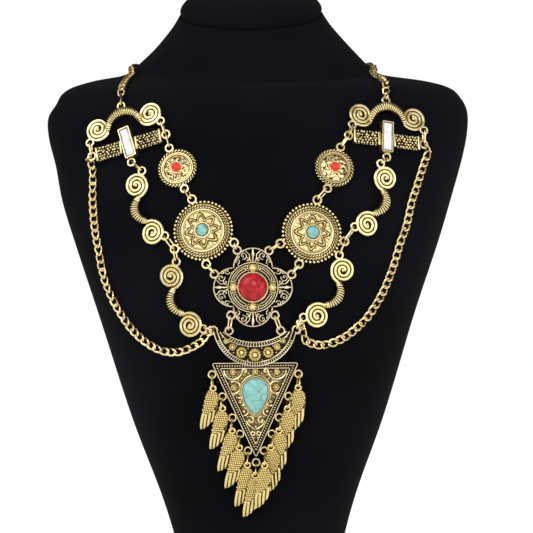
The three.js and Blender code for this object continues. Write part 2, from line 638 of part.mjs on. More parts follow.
// drop is how far below the pendant's loop the wing's own loop hangs, side how far it has swung across,
// turn the wing's tilt and lift its extra height where it lies on its neighbours.
const WINGS = [
  { side: 2.2, drop: 4.9, turn: -18.3, lift: 1.9 },
  { side: 1.5, drop: 3.8, turn: -17.6, lift: 2.1 },
  { side: 1.2, drop: 4.3, turn: -19.2, lift: 2.1 },
  { side: 0.8, drop: 4.5, turn: -18.7, lift: 2.4 },
  { side: 0.4, drop: 4.8, turn: -14.9, lift: 2.3 },
  { side: 0.3, drop: 3.9, turn: -14.4, lift: 3.1 },
  { side: 0.2, drop: 4.0, turn: -9.0, lift: 5.4 },
  { side: -0.7, drop: 4.6, turn: 1.5, lift: 2.3 },
  { side: -0.7, drop: 4.5, turn: -1.1, lift: 2.1 },
  { side: -1.4, drop: 4.2, turn: -3.1, lift: 2.1 },
  { side: -1.1, drop: 4.9, turn: -4.1, lift: 1.9 },
];

WINGS.forEach(({ side, drop, turn, lift }, i) => {
  const [u, v] = WING_LOOPS[i];
  const from = at(places.pendant, u, v, EDGE_LOOP.height);
  const top = at(places.pendant, u + side, v - drop, 0);
  const [du, dv] = polar(10.5, turn - 90);
  const middle = { x: top.x + du, z: top.z + dv, tilt: turn, lean: WING.lean, reachU: 3, reachV: 9 };
  const place = seat({ ...middle, lift });
  place.origin.addScaledVector(place.v, 10.5);
  const offset = wirePoint(places.pendant, from, place.origin, EDGE_LOOP.radius).sub(place.origin);
  const reach = new THREE.Vector3(offset.dot(place.u), offset.dot(place.v), offset.dot(place.w));
  addMesh(`wing_${String(i + 1).padStart(2, '0')}`, wing(reach), 'wing', place);
});

// ---- jump rings between the ornaments ----

// roll is how many degrees the ring leans over from upright.
const RINGS = [
  { name: 'outer', a: ['scroll_bar', 'outer'], b: ['cross_bar', 'outer'], roll: 0 },
  { name: 'shoulder', a: ['scroll_bar', 'inner'], b: ['cross_bar', 'inner'], roll: 0 },
  { name: 'collar', a: ['cross_bar', 'inner'], b: ['small_disc', 'top'], roll: -12 },
  { name: 'disc', a: ['small_disc', 'bottom'], b: ['large_disc', 'top'], roll: RING_ROLL },
  { name: 'drop', a: ['cross_bar', 'bottom'], b: ['s_scroll_upper', 'top'], roll: -20 },
  { name: 'scroll', a: ['s_scroll_upper', 'end'], b: ['large_disc', 'side'], roll: RING_ROLL },
  { name: 'lower', a: ['large_disc', 'side'], b: ['s_scroll_lower', 'top'], roll: 8 },
  { name: 'inner', a: ['large_disc', 'inner'], b: ['medallion', 'upper'], roll: 12 },
  { name: 'hub', a: ['large_disc', 'bottom'], b: ['medallion', 'side'], roll: -12 },
  { name: 'crescent', a: ['medallion', 'lower'], b: ['pendant', 'top'], roll: RING_ROLL },
];

// The loop that a general name means on each side of the necklace.
const NAMED_LOOPS = {
  left: {
    outer: 'left', inner: 'right', side: 'left',
    upper: 'topLeft', lower: 'bottomLeft', top: 'topLeft', horn: 'hornLeft',
  },
  right: {
    outer: 'right', inner: 'left', side: 'right',
    upper: 'topRight', lower: 'bottomRight', top: 'topRight', horn: 'hornRight',
  },
};

function namedLoop([piece, name], side) {
  const whole = piece === 'medallion' || piece === 'pendant';
  const general = whole || piece === 'scroll_bar' || piece === 'cross_bar';
  const id = whole ? piece : `${piece}_${side}`;
  return [id, general && name !== 'bottom' ? NAMED_LOOPS[side][name] : name];
}

// The ring through two loops, each given as [piece, name].
function linkRing(from, to, roll) {
  const [a, b] = [loopAt(from), loopAt(to)];
  const [placeA, placeB] = [places[from[0]], places[to[0]]];
  const outward = placeA.w.clone().add(placeB.w).normalize();
  return ringGeometry(wirePoint(placeA, a, b), wirePoint(placeB, b, a), outward, roll);
}

for (const side of ['left', 'right']) {
  RINGS.forEach(({ name, a, b, roll }) => {
    const [from, to] = [namedLoop(a, side), namedLoop(b, side)];
    addMesh(`ring_${name}_${side}`, linkRing(from, to, roll), 'chain');
  });
}

// ---- chains ----

// A point on the bust at a turn in degrees about the upright axis, 0 in front and positive to the right.
function aroundBust(turn, z) {
  const out = new THREE.Vector3(Math.sin(rad(turn)), -Math.cos(rad(turn)), 0);
  const axis = new THREE.Vector3(0, AXIS_Y, z);
  return hit(axis.addScaledVector(out, 300), out.clone().negate());
}

function bustNormal(turn, z) {
  const across = aroundBust(turn + 2, z).sub(aroundBust(turn - 2, z));
  const up = aroundBust(turn, z + 1.5).sub(aroundBust(turn, z - 1.5));
  return across.cross(up).normalize();
}

// Points at even steps of half a link along a route of [turn, z] rows, raised from the bust.
function chainPath(route, height) {
  const curve = new THREE.CatmullRomCurve3(route.map(([turn, z]) => new THREE.Vector3(turn, 0, z)));
  const fine = curve.getPoints(route.length * 12).map(({ x, z }) => {
    const normal = bustNormal(x, z);
    return { point: aroundBust(x, z).addScaledVector(normal, height), normal };
  });
  const lengths = [0];
  for (let i = 1; i < fine.length; i++) {
    lengths.push(lengths[i - 1] + fine[i].point.distanceTo(fine[i - 1].point));
  }
  const total = lengths[lengths.length - 1];
  const steps = 2 * Math.round(total / CHAIN.pitch);
  return Array.from({ length: steps + 1 }, (_, k) => {
    const wanted = Math.min((total * k) / steps, total);
    const i = Math.min(Math.max(lengths.findIndex((l) => l >= wanted), 1), fine.length - 1);
    const share = (wanted - lengths[i - 1]) / (lengths[i] - lengths[i - 1]);
    return {
      point: fine[i - 1].point.clone().lerp(fine[i].point, share),
      normal: fine[i - 1].normal.clone().lerp(fine[i].normal, share).normalize(),
    };
  });
}

// A curb chain as one strip that is wide and flat at each link and narrow and tall where two links cross.
function chain(path, ...ends) {
  const wide = path.map((_, i) => i % 2 === 1 && i < path.length - 1);
  const across = wide.map((isWide) => (isWide ? CHAIN.wide : CHAIN.narrow));
  const along = wide.map((isWide) => (isWide ? CHAIN.flat : CHAIN.tall));
  const strip = sweep(path.map((p) => p.point), path.map((p) => p.normal), across, along, 4);
  return ends.length ? joined(strip, ...ends) : strip;
}

// The ring that ties a chain's end to a loop, given as [piece, name].
function endRing(from, { point, normal }, roll) {
  const wire = wirePoint(places[from[0]], loopAt(from), point);
  return ringGeometry(wire, point, normal, roll, RING_PAST, 0.4);
}

// Routes from their loop on, in degrees about the axis and height.
const SIDE_ROUTES = {
  left: [[-63.2, 200.0], [-61.7, 193.6], [-61.0, 184.3], [-60.5, 176.2], [-60.0, 166.5], [-59.1, 157.5],
    [-58.2, 146.8], [-55.7, 138.0], [-52.4, 130.6], [-47.5, 122.5], [-41.7, 116.5], [-35.5, 112.8],
    [-29.8, 112.3], [-25.2, 114.0], [-21.4, 116.5]],
  right: [[64.9, 201.2], [63.3, 197.0], [61.0, 190.1], [59.4, 185.1], [57.1, 177.4], [55.0, 167.3],
    [52.6, 159.7], [50.6, 151.1], [48.1, 142.5], [45.1, 134.8], [41.0, 127.3], [36.6, 122.0],
    [31.7, 117.6], [26.4, 114.8], [21.2, 114.3], [17.1, 116.2]],
};
const NECK_ROUTES = {
  left: [[-61.2, 230.8], [-63, 232.6], [-66.5, 234.8], [-71, 237.2], [-76, 240.0], [-81, 242.6],
    [-89, 245.0], [-100, 246.9], [-114, 248.8], [-130, 250.2], [-152, 251.7], [-169.5, 252.5]],
  right: [[61.2, 230.0], [64, 232.4], [68.5, 234.8], [72.8, 236.9], [76.5, 239.2], [82, 242.0], [90, 244.8],
    [100, 246.8], [114, 248.8], [130, 250.2], [152, 251.7], [169.5, 252.5]],
};

for (const side of ['left', 'right']) {
  const names = NAMED_LOOPS[side];
  const lean = side === 'left' ? -RING_ROLL : RING_ROLL;
  const down = chainPath(SIDE_ROUTES[side], CHAIN.height);
  const { normal } = down[down.length - 1];
  const scrollEnd = [`s_scroll_lower_${side}`, 'end'];
  const horn = ['pendant', names.horn];
  const [a, b] = [loopAt(scrollEnd), loopAt(horn)];
  const under = ringFrame(a, b, normal, lean).w.multiplyScalar(-RING_HALF_WIDTH);
  const tie = a.add(b).multiplyScalar(0.5).add(under);
  addMesh(`side_chain_${side}`, chain(
    [...down, { point: tie, normal }],
    endRing([`cross_bar_${side}`, names.outer], down[0], 0),
    linkRing(scrollEnd, horn, lean),
  ), 'chain');
  const back = chainPath(NECK_ROUTES[side], CHAIN.neckHeight);
  addMesh(`neck_chain_${side}`, chain(back, endRing([`scroll_bar_${side}`, 'top'], back[0], 15)), 'chain');
}

// ---- the clasp at the back of the neck ----

const nape = aroundBust(180, 252.5);
const clasp = new THREE.CapsuleGeometry(CLASP.radius, 2 * (CLASP.half - CLASP.radius), 2, 8);
clasp.rotateZ(Math.PI / 2);
addMesh('clasp', clasp, 'chain').position.copy(nape.addScaledVector(bustNormal(180, 252.5), CLASP.height));

export default necklace;
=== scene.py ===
"""A statement necklace on its velvet neck bust.

Sizes are in millimetres until a mesh is made, +Z is up and the wearer's front faces -Y. Every ornament is
worked in its own frame, u to the right, v up and w outwards from its flat back, and then laid on the bust.
"""
import math

import bpy
import numpy as np
from mathutils import Matrix, Vector
from mathutils.bvhtree import BVHTree


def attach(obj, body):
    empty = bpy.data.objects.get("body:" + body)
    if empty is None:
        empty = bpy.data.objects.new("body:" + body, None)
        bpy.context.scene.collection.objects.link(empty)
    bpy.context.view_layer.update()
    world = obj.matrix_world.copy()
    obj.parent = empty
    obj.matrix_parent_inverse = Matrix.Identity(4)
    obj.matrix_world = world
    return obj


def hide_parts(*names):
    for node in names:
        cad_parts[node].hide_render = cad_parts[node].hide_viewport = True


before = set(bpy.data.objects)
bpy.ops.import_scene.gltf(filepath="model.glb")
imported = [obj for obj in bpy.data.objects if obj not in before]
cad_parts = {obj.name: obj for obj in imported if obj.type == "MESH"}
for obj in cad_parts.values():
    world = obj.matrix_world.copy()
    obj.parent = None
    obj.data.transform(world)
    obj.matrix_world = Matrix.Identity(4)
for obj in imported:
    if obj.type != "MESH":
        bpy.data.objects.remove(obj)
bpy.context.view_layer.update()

bl_info = {
    "name": "Statement Necklace",
    "version": (1, 0, 0),
    "blender": (4, 5, 0),
    "location": "3D View > Sidebar > Necklace",
    "description": "Works the looks of a statement necklace and its neck bust",
    "category": "Object",
}

MM = 0.001
TURN = 2 * math.pi
RAD = math.pi / 180
BACKWARDS, UP = np.array([0.0, 1.0, 0.0]), np.array([0.0, 0.0, 1.0])
SIDES = {"left": 1, "right": -1}

# ---- where things lie: the same tables as the part's ----

GAP = 0.4
FAR = 300
LOOP_RADIUS, LOOP_WIRE, LOOP_HEIGHT = 1.7, 0.5, 1.3
RING_WIRE, RING_PAST, RING_HALF_WIDTH, RING_ROLL = 0.4, 1.25, 1.4, 28
EDGE_RADIUS, EDGE_WIRE, EDGE_HEIGHT = 1.6, 0.45, 1.1
AXIS_Y = 20

# x, z, tilt, reach along u, reach along v
ORNAMENTS = {
    "scroll_bar_left": (-59.9, 217.4, 15.9, 15, 6),
    "scroll_bar_right": (60.5, 217.4, -4.7, 15, 6),
    "cross_bar_left": (-57.4, 206.3, 14.3, 16, 5),
    "cross_bar_right": (59.6, 206.6, -6.6, 16, 5),
    "small_disc_left": (-35.3, 195.0, 0, 8.5, 8.5),
    "small_disc_right": (35.4, 193.8, 0, 8.5, 8.5),
    "large_disc_left": (-23.9, 166.5, 0, 13, 13),
    "large_disc_right": (24.5, 164.5, 0, 13, 13),
    "s_scroll_upper_left": (-50.4, 177.0, 22.6, 5, 16),
    "s_scroll_lower_left": (-34.7, 135.3, 21.7, 5, 16),
    "s_scroll_upper_right": (54.1, 178.5, -27.9, 5, 16),
    "s_scroll_lower_right": (32.1, 137.5, -31.9, 5, 16),
    "medallion": (-2.2, 140.7, -1, 17, 17),
    "pendant": (-2.0, 92.4, -0.6, 15, 25),
}

# side, drop, turn, lift of each wing
WINGS = [
    (2.2, 4.9, -18.3, 1.9), (1.5, 3.8, -17.6, 2.1), (1.2, 4.3, -19.2, 2.1), (0.8, 4.5, -18.7, 2.4),
    (0.4, 4.8, -14.9, 2.3), (0.3, 3.9, -14.4, 3.1), (0.2, 4.0, -9.0, 5.4), (-0.7, 4.6, 1.5, 2.3),
    (-0.7, 4.5, -1.1, 2.1), (-1.4, 4.2, -3.1, 2.1), (-1.1, 4.9, -4.1, 1.9),
]
WING_LEAN, WING_ROLL, WING_LOOP, WING_THICK, WING_MIDDLE = 9.5, -12, 1.25, 0.8, 10.5

# ring, the two loops it joins, roll in degrees
RINGS = [
    ("outer", ("scroll_bar", "outer"), ("cross_bar", "outer"), 0),
    ("shoulder", ("scroll_bar", "inner"), ("cross_bar", "inner"), 0),
    ("collar", ("cross_bar", "inner"), ("small_disc", "top"), -12),
    ("disc", ("small_disc", "bottom"), ("large_disc", "top"), RING_ROLL),
    ("drop", ("cross_bar", "bottom"), ("s_scroll_upper", "top"), -20),
    ("scroll", ("s_scroll_upper", "end"), ("large_disc", "side"), RING_ROLL),
    ("lower", ("large_disc", "side"), ("s_scroll_lower", "top"), 8),
    ("inner", ("large_disc", "inner"), ("medallion", "upper"), 12),
    ("hub", ("large_disc", "bottom"), ("medallion", "side"), -12),
    ("crescent", ("medallion", "lower"), ("pendant", "top"), RING_ROLL),
]

# degrees about the upright axis, height
SIDE_ROUTES = {
    "left": [(-63.2, 200.0), (-61.7, 193.6), (-61.0, 184.3), (-60.5, 176.2), (-60.0, 166.5), (-59.1, 157.5),
             (-58.2, 146.8), (-55.7, 138.0), (-52.4, 130.6), (-47.5, 122.5), (-41.7, 116.5), (-35.5, 112.8),
             (-29.8, 112.3), (-25.2, 114.0), (-21.4, 116.5)],
    "right": [(64.9, 201.2), (63.3, 197.0), (61.0, 190.1), (59.4, 185.1), (57.1, 177.4), (55.0, 167.3),
              (52.6, 159.7), (50.6, 151.1), (48.1, 142.5), (45.1, 134.8), (41.0, 127.3), (36.6, 122.0),
              (31.7, 117.6), (26.4, 114.8), (21.2, 114.3), (17.1, 116.2)],
}
NECK_ROUTES = {
    "left": [(-61.5, 229.8), (-63, 232), (-65, 234.2), (-68.5, 236.4), (-74, 238.6), (-79.5, 241),
             (-85, 243.3), (-91, 245), (-97, 245.8), (-103, 245.8), (-110, 246), (-122, 247.7), (-138, 250),
             (-152, 251.7), (-169.5, 252.5)],
    "right": [(59.5, 228.2), (61, 230.4), (63, 232.5), (67.5, 235), (74.5, 237.4), (81, 239.9), (86, 242),
              (91, 243.6), (97, 244.4), (103, 244.3), (110, 244.6), (122, 246.8), (138, 249.6), (152, 251.7),
              (169.5, 252.5)],
}
CHAIN_PITCH, CHAIN_HEIGHT = 3.6, 1.6
CLASP_TURN, CLASP_LEVEL, CLASP_HEIGHT = 180, 252.5, 2.5

# middle x, height, half width, front, widest line, back, power of the superellipse, lean in degrees
BUST = np.array([
    (-1.4, 0, 33.5, -38, -4, 28, 2.4, 0), (-1.4, 40, 44.5, -43, -2, 32, 2.3, 0),
    (-1.1, 80, 59.3, -47, 0, 36, 2.2, 0), (-0.7, 126, 74, -50.5, 4, 41, 2.1, 0),
    (0, 160, 85.5, -49, 7, 44, 2.0, 0), (0.3, 182, 92.3, -45, 9, 46, 1.95, 0),
    (1.4, 199, 96.4, -39.5, 10.5, 47.5, 1.9, 0), (1.3, 212, 99.4, -34, 12, 49, 1.9, 0),
    (1.2, 222, 99.7, -29, 13, 50, 1.9, 0), (1.5, 229, 96, -25, 14, 51, 1.85, 0),
    (0.2, 233.5, 92.2, -22.5, 15, 52, 1.8, 2), (-3, 237, 84, -20, 17, 53, 1.75, 5),
    (-7, 240, 70.2, -17.5, 20, 52.4, 1.8, 8), (-3.2, 242, 61.5, -16.4, 20.6, 52.5, 1.8, 9.2),
    (-1.8, 244.4, 57, -15.2, 21.3, 52.7, 1.85, 10.6), (-1.6, 247.5, 54, -13.9, 22, 52.9, 1.9, 12),
    (-1.0, 255, 46.5, -11, 23, 53.4, 2.0, 15), (-1.0, 264, 38.7, -9, 23, 53.4, 2.0, 18),
    (-1.0, 271, 34.2, -9, 23, 53.4, 2.0, 18),
])
FOOT = {"x": 5, "y": 8, "rx": 39, "ry": 32}

PENDANT_TOP, PENDANT_TIP, PENDANT_HALF = 14.9, -29.0, 19.9
EDGE_ROWS = (9.45, -0.6, -10.2, -17.6, -25.3)
EDGE_OUTSIDE = 1.95


def polar(radius, degrees):
    """Radius and angle turned into u and v."""
    angle = np.asarray(degrees) * RAD
    return np.stack([radius * np.cos(angle), radius * np.sin(angle)], -1)


def edge_loop(v, side):
    """The loop at height v of the pendant's slanting edge, a little way outside the edge line."""
    share = (PENDANT_TOP - v) / (PENDANT_TOP - PENDANT_TIP)
    return (side * (PENDANT_HALF * (1 - share) + EDGE_OUTSIDE), v)


WING_LOOPS = ([edge_loop(v, -1) for v in EDGE_ROWS] + [(0, PENDANT_TIP - 1.6)]
              + [edge_loop(v, 1) for v in reversed(EDGE_ROWS)])
BAR_LOOPS = {"top": (0, 8.2), "right": (17.6, -5.5), "left": (-17.6, -5.5)}
CROSS_LOOPS = {"right": (18.7, 0), "left": (-18.7, 0), "bottom": (0, -8.3)}


def s_loops(hand):
    """The two loops of an S scroll; hand -1 is the mirror image."""
    top, end = polar(7.15, 45), polar(6.7, -37)
    return {"top": (hand * top[0], 11.9 + top[1]), "end": (hand * end[0], end[1] - 11.9)}


def disc_loops(radius, **degrees):
    """Loops on a circle, each at its own angle."""
    return {name: tuple(polar(radius, angle)) for name, angle in degrees.items()}


LOOPS = {
    "small_disc_left": disc_loops(10.7, top=114, bottom=-68),
    "small_disc_right": disc_loops(10.7, top=69, bottom=247),
    "large_disc_left": disc_loops(15.4, top=110, side=212, inner=-22, bottom=-84),
    "large_disc_right": disc_loops(15.4, top=78, side=-15, inner=197, bottom=245),
    "medallion": {"upper_left": (-7.0, 16.7), "upper_right": (7.2, 16.5), "left": (-17.3, 6.0),
                  "right": (17.4, 5.8), "lower_left": (-9.9, -12.5), "lower_right": (9.9, -12.5)},
    "pendant": {"horn_left": (-18.6, 29.4), "horn_right": (18.6, 29.4), "top_left": (-11.6, 29.1),
                "top_right": (11.6, 29.1)},
}
for _side, _hand in SIDES.items():
    LOOPS["scroll_bar_" + _side] = BAR_LOOPS
    LOOPS["cross_bar_" + _side] = CROSS_LOOPS
    LOOPS["s_scroll_upper_" + _side] = LOOPS["s_scroll_lower_" + _side] = s_loops(_hand)


def named_loop(piece, name, side):
    """The ornament and loop that a general name means on one side of the necklace."""
    other = "right" if side == "left" else "left"
    if piece in ("medallion", "pendant"):
        return piece, side if name == "side" else name + "_" + side
    if piece in ("scroll_bar", "cross_bar") and name != "bottom":
        return piece + "_" + side, side if name == "outer" else other
    return piece + "_" + side, name


# ---- finding places on the bust ----


def bust_surface():
    """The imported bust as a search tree, in millimetres."""
    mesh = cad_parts["neck_bust"].data
    faces = [tuple(face.vertices) for face in mesh.polygons]
    return BVHTree.FromPolygons([vertex.co / MM for vertex in mesh.vertices], faces)


SURFACE = bust_surface()


def unit(v):
    """A vector, or rows of vectors, at length one."""
    v = np.asarray(v, float)
    return v / np.linalg.norm(v, axis=-1, keepdims=True)


def turned(v, axis, degrees):
    """v turned about a unit axis: v cos + (axis x v) sin + axis (axis . v) (1 - cos)."""
    c, s = math.cos(degrees * RAD), math.sin(degrees * RAD)
    return v * c + np.cross(axis, v) * s + axis * np.dot(axis, v) * (1 - c)


def hit(surface, start, way):
    """The first point of a surface along a ray."""
    found = surface.ray_cast(Vector(start), Vector(way))[0]
    if found is None:
        raise ValueError(f"no surface along {list(way)} from {list(start)}")
    return np.array(found)


def touch(x, z):
    """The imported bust's surface as seen from the front."""
    return hit(SURFACE, (x, -FAR, z), (0, 1, 0))


class Place:
    """An origin and the directions u, v, w of an ornament."""

    def __init__(self, origin, u, v, w):
        self.origin, self.axes = np.asarray(origin, float), np.array([u, v, w])

    def at(self, points):
        """Local points carried to the bust."""
        return self.origin + np.asarray(points, float) @ self.axes

    @property
    def w(self):
        return self.axes[2]


def seat(x, z, tilt, reach_u, reach_v, lean=0, lift=0):
    """The resting plane: least squares of y over x and z through twelve points around, raised clear of the
    bust, then tilted about w and leant about u."""
    angle = np.arange(0, 360, 30)
    c, s = np.cos(angle * RAD), np.sin(angle * RAD)
    ct, st = math.cos(tilt * RAD), math.sin(tilt * RAD)
    du, dv = c * reach_u * ct - s * reach_v * st, c * reach_u * st + s * reach_v * ct
    centre = touch(x, z)
    samples = np.array([centre] + [touch(x + share * a, z + share * b) for share in (0.5, 1)
                                   for a, b in zip(du, dv)])
    d = samples[-12:] - samples[-12:].mean(0)
    sx, sz = np.linalg.lstsq(d[:, [0, 2]], d[:, 1], rcond=None)[0]
    w = unit([sx, -1, sz])
    v = turned(unit(UP - w * w[2]), w, tilt)
    u = np.cross(v, w)
    v, w = turned(v, u, lean), turned(w, u, lean)
    highest = ((samples - centre) @ w).max()
    return Place(centre + w * (highest + GAP + lift), u, v, w)


PLACES = {name: seat(*row) for name, row in ORNAMENTS.items()}


def loop_at(piece, name):
    return PLACES[piece].at((*LOOPS[piece][name], LOOP_HEIGHT))


def wire_point(w, middle, target, radius=LOOP_RADIUS):
    """The point of a loop's wire nearest to target; the loop's plane is at right angles to w."""
    way = target - middle
    return middle + unit(way - w * way.dot(w)) * radius


def ring_path(a, b, outward, roll, past_a=RING_PAST, past_b=RING_PAST, steps=26):
    """A long round in the plane of a-b and the leaning outward direction, straight in the middle. Its normal
    and that direction come with it."""
    t = unit(b - a)
    w = turned(unit(outward - t * outward.dot(t)), t, roll)
    start, end = a - t * past_a, b + t * past_b
    half = np.linalg.norm(end - start) / 2
    straight = max(half - RING_HALF_WIDTH, 0)
    angle = (np.arange(steps) + 0.5) * TURN / steps
    c, s = np.cos(angle), np.sin(angle)
    lengthways = np.sign(c) * straight + (half - straight) * c
    points = (start + end) / 2 + np.outer(lengthways, t) + np.outer(RING_HALF_WIDTH * s, w)
    return points, np.cross(t, w), w


def link_path(a, b, roll):
    """The jump ring through two loops, each given as ornament and loop name."""
    pa, pb = loop_at(*a), loop_at(*b)
    wa, wb = PLACES[a[0]].w, PLACES[b[0]].w
    return ring_path(wire_point(wa, pa, pb), wire_point(wb, pb, pa), unit(wa + wb), roll)


def wing_places():
    """Each wing's place, and the pendant's wire that its ring holds, seen from the wing."""
    pendant, rows = PLACES["pendant"], []
    for (u, v), (side, drop, turn, lift) in zip(WING_LOOPS, WINGS):
        top = pendant.at((u + side, v - drop, 0))
        dx, dz = polar(WING_MIDDLE, turn - 90)
        place = seat(top[0] + dx, top[2] + dz, turn, 3, 9, WING_LEAN, lift)
        place.origin = place.origin + place.axes[1] * WING_MIDDLE
        wire = wire_point(pendant.w, pendant.at((u, v, EDGE_HEIGHT)), place.origin, EDGE_RADIUS)
        rows.append((place, place.axes @ (wire - place.origin)))
    return rows


# ---- lines ----


def smooth(points, count, closed=False):
    """A Catmull-Rom curve through the points, at even steps of its own parameter."""
    p = np.asarray(points, float)
    if closed:
        p = np.concatenate([p[-1:], p, p[:2]])
    else:
        p = np.concatenate([2 * p[:1] - p[1:2], p, 2 * p[-1:] - p[-2:-1]])
    spans = len(p) - 3
    t = np.arange(count) * spans / count if closed else np.linspace(0, spans, count)
    i = np.minimum(t.astype(int), spans - 1)
    t = (t - i)[:, None]
    a, b, c, d = p[i], p[i + 1], p[i + 2], p[i + 3]
    return (2 * b + (c - a) * t + (2 * a - 5 * b + 4 * c - d) * t ** 2
            + (3 * b - a - 3 * c + d) * t ** 3) / 2


def along(line):
    """The length from a line's start to each of its points."""
    return np.concatenate([[0], np.cumsum(np.linalg.norm(np.diff(line, axis=0), axis=1))])


def evenly(points, steps, *others):
    """The same line cut into even lengths, with other rows carried along by linear interpolation."""
    lengths = along(points)
    wanted = np.linspace(0, lengths[-1], steps + 1)
    rows = [np.stack([np.interp(wanted, lengths, column) for column in np.asarray(r, float).T], -1)
            for r in (points, *others)]
    return rows if others else rows[0]


def rejoined(line):
    """A closed line with its first point again at its end."""
    return np.concatenate([line, line[:1]])


def circle(radius, steps=64, u=0.0, v=0.0, w=0.0):
    angle = np.arange(steps) * TURN / steps
    return np.stack([u + radius * np.cos(angle), v + radius * np.sin(angle), np.full(steps, w)], -1)


def arc(radius, start, end, steps=16, u=0.0, v=0.0, w=0.0):
    return raised(polar(radius, np.linspace(start, end, steps)) + [u, v], w)


def raised(points, w):
    """Points of u and v given a height."""
    points = np.asarray(points, float)
    return np.concatenate([points, np.broadcast_to(w, (len(points),))[:, None]], -1)


def placed(points, u, v, degrees):
    """Local points turned about w and moved to (u, v)."""
    x, y, w = np.asarray(points, float).T
    c, s = math.cos(degrees * RAD), math.sin(degrees * RAD)
    return np.stack([u + c * x - s * y, v + s * x + c * y, w], -1)


# ---- surfaces ----


def tube(path, radius, up, sides, closed, flat, ripple):
    """A round profile carried along a path: path + side rho cos(phi) + up' flat rho sin(phi), with rho =
    radius times ripple(s, phi). s is the length along the path, up' is up squared to it and side = up' x
    tangent. phi and the ripple come with it."""
    path = np.asarray(path, float)
    if closed:
        tangent = unit(np.roll(path, -1, 0) - np.roll(path, 1, 0))
    else:
        tangent = unit(np.gradient(path, axis=0))
    up = np.broadcast_to(np.asarray(up, float), path.shape)
    up = unit(up - tangent * (up * tangent).sum(-1, keepdims=True))
    side = np.cross(up, tangent)
    phi = (np.arange(sides) + 0.5) * TURN / sides
    worn = np.ones((len(path), sides)) if ripple is None else ripple(along(path)[:, None], phi)
    rho = np.broadcast_to(np.asarray(radius, float), (len(path),))[:, None] * worn
    return (path[:, None] + side[:, None] * (rho * np.cos(phi))[..., None]
            + up[:, None] * (flat * rho * np.sin(phi))[..., None]), phi, worn


def twisted(pitch, depth):
    """The ripple of a rope of two strands: 1 - depth (1 - |cos|) of the strands' angle, which makes half a
    turn in each pitch."""
    return lambda s, phi: 1 - depth * (1 - np.abs(np.cos(phi + TURN * s / pitch / 2)))


def wound(pitch, depth):
    """The ripple of a rod wound with fine wire: 1 - depth (1 - |sin|) of half a turn for each winding."""
    return lambda s, phi: 1 - depth * (1 - np.abs(np.sin(math.pi * s / pitch + phi / 2)))


def added(name, data):
    """A new object in the scene."""
    made = bpy.data.objects.new(name, data)
    bpy.context.scene.collection.objects.link(made)
    return made


